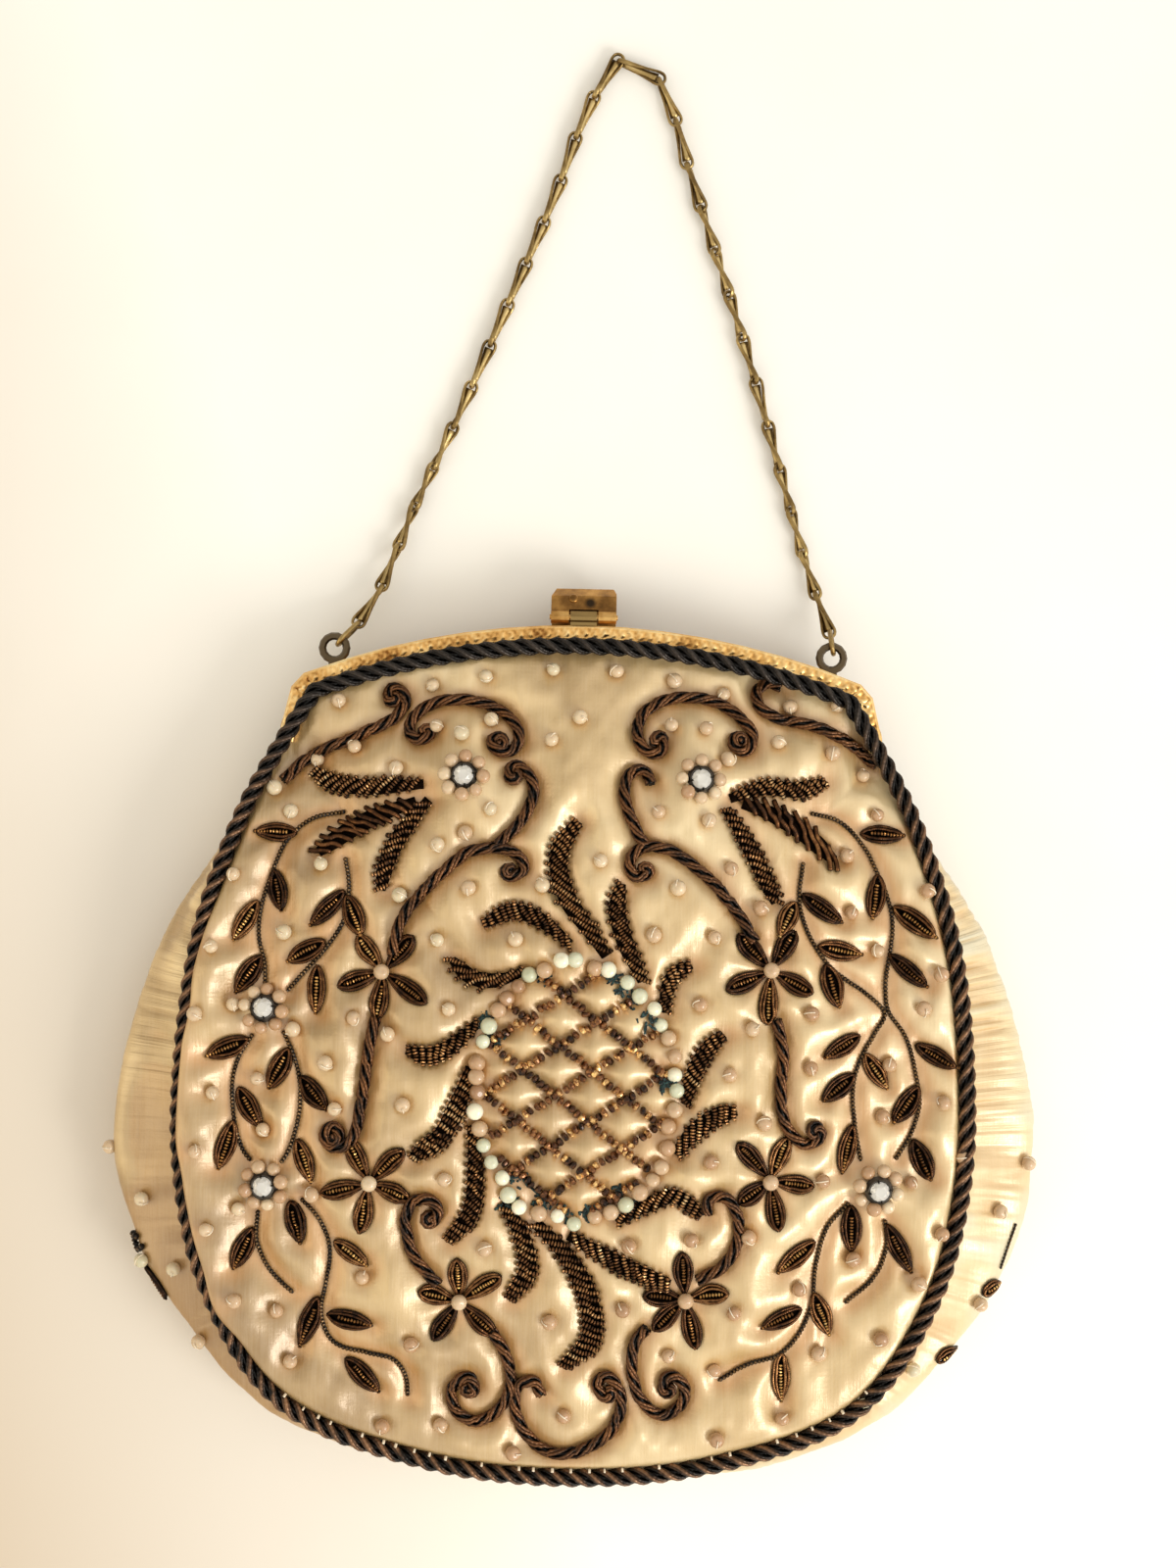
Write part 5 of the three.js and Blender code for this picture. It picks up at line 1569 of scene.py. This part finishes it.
def add_leaf(wires, coils, padding, lay, stem, tip, wide, tint, power, blunt, coil_end):
    """Two pairs of wires that part and meet again, round a coil that may run on past the tip."""
    length = np.linalg.norm(tip - stem)
    along = (tip - stem) / length
    side = np.array([-along[1], along[0]])
    bed = np.linspace(*LEAF_BED, 9)
    halves = (wide / 2 - LEAF_BED_MARGIN) * np.sin(math.pi * bed**power) ** LEAF_BED_BLUNT
    add_padding(padding, lay, stem + (tip - stem) * bed[:, None], halves, LEAF_BED_HIGH)
    share = np.linspace(0, 1, LEAF_CUTS)
    for hand in (-1, 1):
        for depth in (0.0, LEAF_STEP):
            half = (wide / 2 - LEAF_WIRE - depth) * np.sin(math.pi * share**power) ** blunt
            plan = stem + along * (share * length)[:, None] + side * (hand * half)[:, None]
            path, ways = lay(plan, LEAF_LIFT + depth / 2)
            add_tube(wires, path, ways, LEAF_WIRE, 6, tint)
    inner = np.linspace(LEAF_COIL_START, coil_end, 9)[:, None]
    path, ways = lay(stem + (tip - stem) * inner, LEAF_COIL_LIFT)
    add_coil(coils, path, ways, LEAF_COIL_RADIUS, LEAF_COIL_RIB, 6, tint)


def leaves(skin, gusset, panel, batches):
    """Leaves of the vines, petals and leaves on the gusset, into batches of wires, coils and padding."""
    rng = np.random.default_rng(11)
    for ends in LEAVES:
        stem, tip = on_panel(panel, ends)
        wide = px(LEAF_WIDE + rng.uniform(*LEAF_UNEVEN))
        add_leaf(*batches, skin.lay, stem, tip, wide, rng.random(), **LEAF_FORM)
    for middle, petals in FLOWERS:
        for petal in petals:
            heart, centre = on_panel(panel, [middle, petal])
            stem = heart + PETAL_START * (centre - heart)
            tip = heart + PETAL_END * (centre - heart)
            add_leaf(*batches, skin.lay, stem, tip, px(PETAL_WIDE), rng.random(), **PETAL_FORM)
    for ends in GUSSET_LEAVES:
        lay, length = gusset.flat(np.array([seen_at(*end, GUSSET_Z) for end in ends]), GUSSET_Z)
        tip = np.array([length, 0.0])
        add_leaf(*batches, lay, np.zeros(2), tip, px(GUSSET_LEAF_WIDE), rng.random(), **LEAF_FORM)


def plume_taper(share):
    """Width of a plume as a share of its middle, by the way from tip to base."""
    base = smooth((share - PLUME_WIDEST) / (1 - PLUME_WIDEST))
    return np.minimum(1.0, PLUME_TIP + PLUME_GROWTH * share) * (1 - PLUME_LOSS * base)


def add_plume(batch, padding, skin, path, wide, leans, rng, spacing, radius, rib):
    """Rows of coil, or of smooth wire without a rib, slantwise across a tapering stem, over a low padding."""
    run, length = gone(path)
    add_padding(padding, skin.lay, path, PLUME_BED * wide * plume_taper(run / length), PLUME_BED_HIGH)
    along = unit(np.gradient(path, axis=0))
    across = np.linspace(-1, 1, 7)
    arch = np.sqrt(np.clip(1 - across**2, 0, 1))
    stop = PLUME_START * spacing
    while stop < length - PLUME_END * spacing:
        share = stop / length
        centre = np.array([np.interp(stop, run, path[:, k]) for k in range(2)])
        way = unit(np.array([np.interp(stop, run, along[:, k]) for k in range(2)]))
        angle = math.radians(leans[0] + share * (leans[1] - leans[0]) + rng.uniform(*PLUME_SWAY))
        lean = np.array([math.cos(angle), math.sin(angle)])
        crossing = max(abs(way[0] * lean[1] - way[1] * lean[0]), PLUME_CROSSING)
        taper = plume_taper(share)
        half = PLUME_HALF * wide * taper / crossing * rng.uniform(*PLUME_UNEVEN)
        points, ways = skin.under(centre + lean * (across * half)[:, None])
        row = points + ways * (PLUME_FOOT + PLUME_ARCH * arch * taper)[:, None]
        if rib:
            add_coil(batch, row, ways, radius, rib, 6, rng.random())
        else:
            add_tube(batch, resampled(row, 0.6), UP, radius, 8, rng.random())
        stop += spacing / crossing


def plumes(name, chart, seed, coil, skin, panel, padding, made):
    """All plumes of one kind in one piece. Ribbed coil is faceted, and smooth wire is not."""
    rng = np.random.default_rng(seed)
    batch = Batch()
    for rows, wide, leans in chart:
        path = resampled(on_panel(panel, spline(rows, CHART_STEP)), PLUME_STEP)
        add_plume(batch, padding, skin, path, px(wide), leans, rng, **coil)
    batch.piece(name, made, "purl_wire", flat=coil["rib"] > 0)


def lattice_lines():
    """Pixels along each bead string of the medallion."""
    lines = []
    for family in (FALLING, RISING):
        for start in family["starts"]:
            u = np.linspace(MEDALLION_U - MEDALLION_HALF_U, MEDALLION_U + MEDALLION_HALF_U, 200)
            v = start + family["slope"] * (u - MEDALLION_U)
            across, down = (u - MEDALLION_U) / MEDALLION_HALF_U, (v - MEDALLION_V) / MEDALLION_HALF_V
            inside = across**2 + down**2 < LATTICE_SHARE
            lines.append((u[inside], v[inside]))
    return lines


def lattice_beads(skin, panel, made):
    rng = np.random.default_rng(23)
    batch = Batch()
    for u, v in lattice_lines():
        path = resampled(on_panel(panel, np.stack([u, v], axis=1)), BEAD_PITCH)
        points, ways = skin.under(path)
        along = unit(np.gradient(points, axis=0))
        for point, way, run in zip(points, ways, along):
            radius = rng.uniform(*BEAD_RADIUS)
            half = 0.5 * BEAD_PITCH * rng.uniform(*BEAD_FILL)
            lean = run + rng.normal(0, BEAD_LEAN, 3)
            profile = [(share * radius, height * half) for share, height in BEAD_PROFILE]
            centre = point + upright(way) * BEAD_LIFT + rng.normal(0, BEAD_STRAY, 3)
            add_turned(batch, profile, 8, centre, lean, rng.random())
    batch.piece("lattice_beads", made, "seed_bead", flat=True)


def pearl_profile(radius):
    """A drilled ball, a little flattened, with a dimple at each end of its hole."""
    rows = []
    for angle in np.linspace(HOLE_ANGLE, math.pi - HOLE_ANGLE, 11):
        dimple = HOLE_DIMPLE * bell(min(angle, math.pi - angle), HOLE_WIDTH)
        rows.append((radius * math.sin(angle), -radius * math.cos(angle) * (PEARL_FLAT - dimple)))
    return rows


def add_pearl(pearls, threads, point, way, radius, tint, rng):
    """A pearl on the cloth, with a thread over it where there is a batch for threads."""
    lean = unit(way + rng.normal(0, PEARL_LEAN, 3))
    centre = point + way * radius * PEARL_SET
    add_turned(pearls, pearl_profile(radius), PEARL_SIDES, centre, lean, tint)
    if threads is None:
        return
    side = unit(np.cross(lean, rng.normal(0, 1, 3)))
    angle = np.linspace(0, THREAD_SPAN, 9)[:, None]
    loop = centre + (lean * np.cos(angle) + side * np.sin(angle)) * radius * THREAD_CLEAR
    add_tube(threads, loop, np.cross(lean, side), THREAD_RADIUS, 5, rng.random())


def field_pearls(field, threads, skin, gusset, panel, rng):
    """Pearls strewn over the front, in the hearts of the flowers and on the gusset."""
    for point, way in zip(*skin.under(on_panel(panel, PEARLS))):
        size = PEARL_RADIUS * rng.uniform(*PEARL_UNEVEN)
        # Painted light: pearls paler towards the upper left
        painted_light = smooth(0.5 + (point[1] - point[0]) / PAINTED_LIGHT_REACH)
        add_pearl(field, threads, point, way, size, rng.uniform(*PEARL_TINT) + PAINTED_LIGHT_TINT * painted_light, rng)
    for point, way in zip(*skin.under(on_panel(panel, [middle for middle, petals in FLOWERS]))):
        add_pearl(field, None, point + way * HEART_LIFT, way, HEART_RADIUS, rng.uniform(*HEART_TINT), rng)
    plan = np.column_stack(seen_at(*np.array(GUSSET_PEARLS, float).T, GUSSET_Z))
    for point, way in zip(*gusset.seen(plan, GUSSET_Z)):
        add_pearl(field, threads, point, way, PEARL_RADIUS, rng.uniform(*GUSSET_PEARL_TINT), rng)


def ring_pearls(ring, skin, panel, rng):
    points, ways = skin.under(on_panel(panel, [(u, v) for u, v, colour in RING_PEARLS]))
    for (u, v, colour), point, way in zip(RING_PEARLS, points, ways):
        size = RING_PEARL_RADIUS * rng.uniform(*PEARL_UNEVEN)
        tint = PEARL_TINTS[colour] + rng.uniform(*RING_TINT_UNEVEN)
        add_pearl(ring, None, point, way, size, tint, rng)


def verdigris_knots(knots, skin, panel, rng):
    for point, way in zip(*skin.under(on_panel(panel, VERDIGRIS))):
        for _ in range(KNOT_THREADS):
            start = point + rng.normal(0, KNOT_STRAY, 3) * (1, 1, 0) + way * rng.uniform(*KNOT_LIFT)
            end = start + rng.normal(0, KNOT_LENGTH, 3) * (1, 1, 0.2)
            add_tube(knots, resampled(np.array([start, end]), 0.4), way, KNOT_RADIUS, 5, rng.random())


def pearls(skin, gusset, panel, made, thread_made, verdigris_made):
    rng = np.random.default_rng(29)
    field, ring, threads, knots = Batch(), Batch(), Batch(), Batch()
    field_pearls(field, threads, skin, gusset, panel, rng)
    ring_pearls(ring, skin, panel, rng)
    verdigris_knots(knots, skin, panel, rng)
    stone_pearls(field, skin, rng)
    field.piece("scattered_pearls", made, "pearl")
    ring.piece("medallion_pearls", made, "pearl")
    threads.piece("pearl_threads", thread_made, "thread")
    knots.piece("verdigris_threads", verdigris_made, "thread")


def stone_names():
    return [f"stone_{number + 1}" for number in range(STONES)]


def stone_places():
    """Middle of each stone's foot, from the solids."""
    boxes = [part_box(name) for name in stone_names()]
    return np.array([((low[0] + high[0]) / 2 / MM, (low[1] + high[1]) / 2 / MM) for low, high in boxes])


def upright(way):
    """A way out of the cloth, drawn towards straight up."""
    return unit(way + (0, 0, UPRIGHT))


def stone_pearls(field, skin, rng):
    for place in stone_places():
        turn = rng.uniform(0, TURN)
        angle = turn + TURN * np.arange(STONE_PEARLS) / STONE_PEARLS
        plan = place + STONE_RING_RADIUS * np.stack([np.cos(angle), np.sin(angle)], axis=1)
        for point, way in zip(*skin.under(plan)):
            size = STONE_PEARL_RADIUS * rng.uniform(*STONE_PEARL_UNEVEN)
            add_pearl(field, None, point, upright(way), size, rng.uniform(*STONE_PEARL_TINT), rng)


def facets():
    """Faces of a cut stone: table, star, crown, girdle and the flat under it."""
    star, girdle, under = 8, 16, 32
    faces = [list(range(star)), [under + k for k in reversed(range(16))]]
    for k in range(8):
        after = (k + 1) % 8
        left, middle, right = girdle + 2 * k, girdle + 2 * k + 1, girdle + 2 * after
        faces += [[k, star + k, after], [k, left, star + k], [star + k, right, after]]
        faces += [[star + k, left, middle], [star + k, middle, right]]
    for k in range(16):
        after = (k + 1) % 16
        faces.append([girdle + k, under + k, under + after, girdle + after])
    return faces


def add_stone(cut, backing, cups, base, way):
    """A cut stone over foil, in a cup with turned-over claws."""
    across = unit(np.cross(way, STONE_ASIDE))
    side = np.cross(way, across)

    def spokes(count, turn):
        angle = TURN * (np.arange(count) + turn) / count
        return across * np.cos(angle)[:, None] + side * np.sin(angle)[:, None]

    rows = [base + spokes(count, turn) * radius + way * high for radius, high, count, turn in STONE_ROWS]
    corners = np.vstack(rows)
    cut.add(corners, facing_out(corners - base, facets()), np.zeros((len(corners), 3)))
    add_turned(backing, STONE_FOIL, 8, base, way, 0.5)
    add_turned(cups, STONE_CUP, 24, base, way, 0.5)
    for spoke in spokes(CLAWS, CLAW_TURN):
        claw = np.array([base + spoke * out + way * high for out, high in CLAW])
        add_tube(cups, resampled(claw, 0.2), np.cross(way, spoke), CLAW_RADIUS, 6)


def stones(skin, crystal, foil, metal):
    cut, backing, cups = Batch(), Batch(), Batch()
    points, ways = skin.under(stone_places())
    for point, way in zip(points, upright(ways)):
        add_stone(cut, backing, cups, point + way * STONE_FOOT, way)
    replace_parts(cut.piece("cut_stones", crystal, "crystal", flat=True), *stone_names())
    backing.piece("stone_foils", foil, "crystal", flat=True)
    cups.piece("stone_cups", metal, "metal_cord")


# Metalwork
def frame_relief(made):
    """A stamped band along the front face of the frame: small leaves between two beaded edges."""
    path = resampled(frame_edge(), BAND_STEP)
    across = np.linspace(BAND_MARGIN, FACE_WIDTH - BAND_MARGIN, BAND_CUTS)
    along = gone(path)[0][:, None]
    share = (across - across[0])[None] / (across[-1] - across[0])
    leaf = np.abs(np.sin(math.pi * (along / BAND_LEAF + BAND_LEAF_WAVE * np.cos(TURN * share))))
    vein = 0.5 + 0.5 * np.cos(TURN * (along / BAND_VEIN + BAND_VEIN_SLANT * share))
    bloom = value_noise(along / BAND_BLOOM, share * BAND_BLOOM_ROWS, 41)
    edge = bell(share - BAND_EDGE, BAND_EDGE_WIDE) + bell(share - 1 + BAND_EDGE, BAND_EDGE_WIDE)
    stamped = BAND_LEAF_HIGH * leaf + BAND_VEIN_HIGH * vein + BAND_BLOOM_HIGH * bloom
    height = BAND_FIELD_HIGH + np.sin(math.pi * share) ** BAND_CROWN * stamped + BAND_EDGE_HIGH * edge
    height[:, [0, -1]] = BAND_RIM
    plan = np.stack([inset_path(path, distance) for distance in across], axis=1)
    top = np.concatenate([plan, (FRAME_FACE_Z + height)[..., None]], axis=-1)
    sunk = np.full((*plan.shape[:2], 1), FRAME_FACE_Z - BAND_SINK)
    floor = np.concatenate([plan[:, ::-1], sunk], axis=-1)
    points = np.concatenate([top, floor], axis=1).reshape(-1, 3)
    faces = facing_out(points, tube_faces(len(path), 2 * len(across)))
    add_piece("frame_stamped_band", points, faces, made)


def clasp_place(share):
    """Point on top of the clasp's flap, by its shares of the way across and up, and the way out there."""
    low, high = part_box("clasp_flap")
    x = low[0] + share[0] * (high[0] - low[0])
    y = low[1] + share[1] * (high[1] - low[1])
    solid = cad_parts["clasp_flap"].data
    points = [tuple(vertex.co) for vertex in solid.vertices]
    tree = BVHTree.FromPolygons(points, [tuple(face.vertices) for face in solid.polygons])
    hit, way = tree.ray_cast(Vector((x, y, 1.0)), Vector((0, 0, -1)))[:2]
    return np.array(hit) / MM, np.array(way)


def clasp_boss(made):
    """The little raised button on the flap."""
    batch = Batch()
    add_turned(batch, BOSS_PROFILE, 20, *clasp_place(BOSS_SHARE), 0.5)
    add_piece("clasp_boss", np.vstack(batch.points), batch.faces, made, body="flap")


def dress(name, made, rounding=None, levels=0):
    """Gives a solid its finish, with softened edges or a rounder surface."""
    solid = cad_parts[name]
    solid.data.materials.clear()
    solid.data.materials.append(made)
    weld = solid.modifiers.new("weld", "WELD")
    weld.merge_threshold = 1e-6
    if rounding:
        bevel = solid.modifiers.new("edges", "BEVEL")
        bevel.width = rounding * MM
        bevel.segments = 2
        bevel.limit_method = "ANGLE"
        bevel.angle_limit = math.radians(35)
    if levels:
        rounder = solid.modifiers.new("round", "SUBSURF")
        rounder.levels = levels
        rounder.render_levels = levels


def chain_folds(names, made):
    """The folded strip that fills each link between its two end loops, where the strands turn a quarter."""
    batch = Batch()
    for name in names:
        points = np.array([tuple(vertex.co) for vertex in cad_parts[name].data.vertices]) / MM
        middle = (points.min(axis=0) + points.max(axis=0)) / 2
        run = np.linalg.svd(points - middle, full_matrices=False)[2][0]
        along = (points - middle) @ run
        start, end = along.min(), along.max()
        near = points[along < start + LINK_EYE]
        near = near - near.mean(axis=0)
        near = near - np.outer(near @ run, run)
        up = np.linalg.svd(near, full_matrices=False)[2][0]
        side = np.cross(up, run)
        share = np.linspace(0.0, 1.0, 11)
        angle = math.pi / 2 * (1 - smooth(share))
        ways = side * np.cos(angle)[:, None] + up * np.sin(angle)[:, None]
        half = LINK_HALF * (1 - LINK_PINCH * np.sin(math.pi * share))
        path = middle + run * (start + LINK_EYE + share * (end - start - 2 * LINK_EYE))[:, None]
        thick = np.cross(run, ways) * LINK_FOLD / 2
        wide = ways * half[:, None]
        corners = np.stack([path + wide, path + thick, path - wide, path - thick], axis=1).reshape(-1, 3)
        faces = facing_out(corners - middle, tube_faces(len(path), 4))
        batch.add(corners, faces, np.full((len(corners), 3), 0.5))
    batch.piece("chain_folds", made, "chain_brass")


def metalwork():
    low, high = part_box("clasp_pin")
    knuckle = [(start + end) / 2 / MM for start, end in zip(low, high)]
    gilt = brass_material("gilt_brass", GOLD_SHADES, 0.34)
    dress("frame_front", spotted(gilt, [knuckle], KNUCKLE_REACH, 0.6, KNUCKLE_COLOUR), rounding=0.18)
    ringed = brass_material("gilt_brass_rings", GOLD_SHADES, 0.34)
    dress("frame_back", spotted(ringed, RING_PLACES, RING_REACH, 0.9, RING_COLOUR), rounding=0.15)
    frame_relief(brass_material("stamped_gilt", GOLD_SHADES, 0.30))
    clasp_boss(brass_material("boss_brass", BROWN_SHADES, 0.30))
    worn = brass_material("clasp_brass", BROWN_SHADES, 0.32, 0.06)
    stain = clasp_place(SPOT_SHARE)[0]
    dress("clasp_flap", spotted(worn, [stain], SPOT_REACH, 0.8, STAIN_COLOUR), rounding=0.2)
    for name in ("clasp_pin", "hinge_rivet_left", "hinge_rivet_right"):
        dress(name, worn, rounding=0.12)
    chain = brass_material("chain_brass", OLIVE_SHADES, 0.34, 0.03)
    links = sorted(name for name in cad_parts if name.startswith(("chain_link", "jump_ring")))
    for name in links:
        dress(name, chain, levels=1)
    chain_folds([name for name in links if name.startswith("chain_link")], chain)


# Stage
def stage():
    corners = [(TABLE_HALF * x, TABLE_HALF * y, 0) for x, y in ((-1, -1), (1, -1), (1, 1), (-1, 1))]
    mesh = bpy.data.meshes.new("table_top")
    mesh.from_pydata(corners, [], [(0, 1, 2, 3)])
    mesh.materials.append(floor_material())
    floor = bpy.data.objects.new("table_top", mesh)
    floor.location.z = -TABLE_DROP
    bpy.context.scene.collection.objects.link(floor)


def lamp(name, place, aim, size, power, colour):
    light = bpy.data.lights.new(name, "AREA")
    light.size = size
    light.energy = power
    light.color = colour
    made = bpy.data.objects.new(name, light)
    made.location = place
    made.rotation_euler = (Vector(aim) - Vector(place)).to_track_quat("-Z", "Y").to_euler()
    bpy.context.scene.collection.objects.link(made)


def lights():
    world = bpy.data.worlds.new("soft_room")
    world.use_nodes = True
    sky = world.node_tree.nodes["Background"]
    way = node(world, "ShaderNodeTexCoord").outputs["Generated"]
    toward = toward_of(world, way, WINDOW_WAY)
    bright = spread(world, toward, *ROOM_SIDES, 0.0, 1.0)
    joined(world, ramp(world, bright, ROOM_COLOURS), sky, "Color")
    joined(world, spread(world, toward, *ROOM_SIDES, *ROOM_LIGHT), sky, "Strength")
    bpy.context.scene.world = world
    lamp("window", **WINDOW_LAMP)
    lamp("warm_wall", **WALL_LAMP)


def camera():
    lens = bpy.data.cameras.new("photo_camera")
    lens.sensor_fit = "VERTICAL"
    lens.sensor_height = SENSOR_TALL
    lens.lens = FOCAL_PX * SENSOR_TALL / PHOTO_TALL
    lens.clip_start = 0.01
    made = bpy.data.objects.new("photo_camera", lens)
    made.location = (CAMERA_X * MM, CAMERA_Y * MM, CAMERA_Z * MM)
    made.rotation_euler = (0.0, 0.0, CAMERA_ROLL)
    bpy.context.scene.collection.objects.link(made)
    bpy.context.scene.camera = made
    bpy.context.scene.view_settings.view_transform = "Standard"


def bag():
    rows = seam_rows(1.0)[0]
    front = Panel(panel_edge(rows, 2, TUCK_INSET, TUCK_Z), crown_height)
    back = Panel(panel_edge(rows, 3, BACK_TUCK_INSET, BACK_TUCK_Z), rest_height)
    satin = satin_material()
    skin = front_satin(front, satin)
    back_satin(back, satin)
    gusset = gusset_satin(satin)
    edging = metal_cord_material("edge_cord", *EDGE_COLOURS)
    seam = edge_cord("front_edge_cord", "front_cord", 2, CORD_RISE, CORD_INSET, CORD_FRAME_Z, 0.75, edging)
    edge_cord("back_edge_cord", "back_cord", 3, -CORD_RISE, BACK_CORD_INSET, BACK_CORD_FRAME_Z, 1.2, edging)
    scroll_cords(skin, front, metal_cord_material("scroll_cord", *SCROLL_COLOURS))
    vine_threads(skin, gusset, front, metal_cord_material("vine_thread", *VINE_COLOURS))
    wires, coils, padding = Batch(), Batch(), Batch()
    leaves(skin, gusset, front, (wires, coils, padding))
    wires.piece("leaf_wires", purl_material("smooth_wire", DULL_WIRE, 0.28), "purl_wire")
    coils.piece("leaf_coils", purl_material("bright_coil", BRIGHT_WIRE, 0.26), "purl_wire", flat=True)
    ribbed = purl_material("plume_coil", PLUME_WIRE, 0.28)
    plumes("coil_plumes", PLUMES, 17, PLUME_COIL, skin, front, padding, ribbed)
    plain = purl_material("smooth_coil", DULL_WIRE, 0.34)
    plumes("smooth_coil_leaves", SATIN_LEAVES, 19, SMOOTH_COIL, skin, front, padding, plain)
    padding.piece("wirework_padding", thread_material("dark_padding", DARK_PADDING_SHADES, 0.0), "thread")
    lattice_beads(skin, front, bead_material())
    white = thread_material("sewing_thread", WHITE_THREAD)
    cord_stitches(seam, white)
    verdigris = thread_material("verdigris_thread", VERDIGRIS_AND_SHADE_THREAD)
    pearls(skin, gusset, front, pearl_material(), white, verdigris)
    stones(skin, crystal_material(), foil_material(), metal_cord_material("cup_metal", *CUP_AND_SHADOW_COLOURS))
    metalwork()


camera()
lights()
stage()
bag()
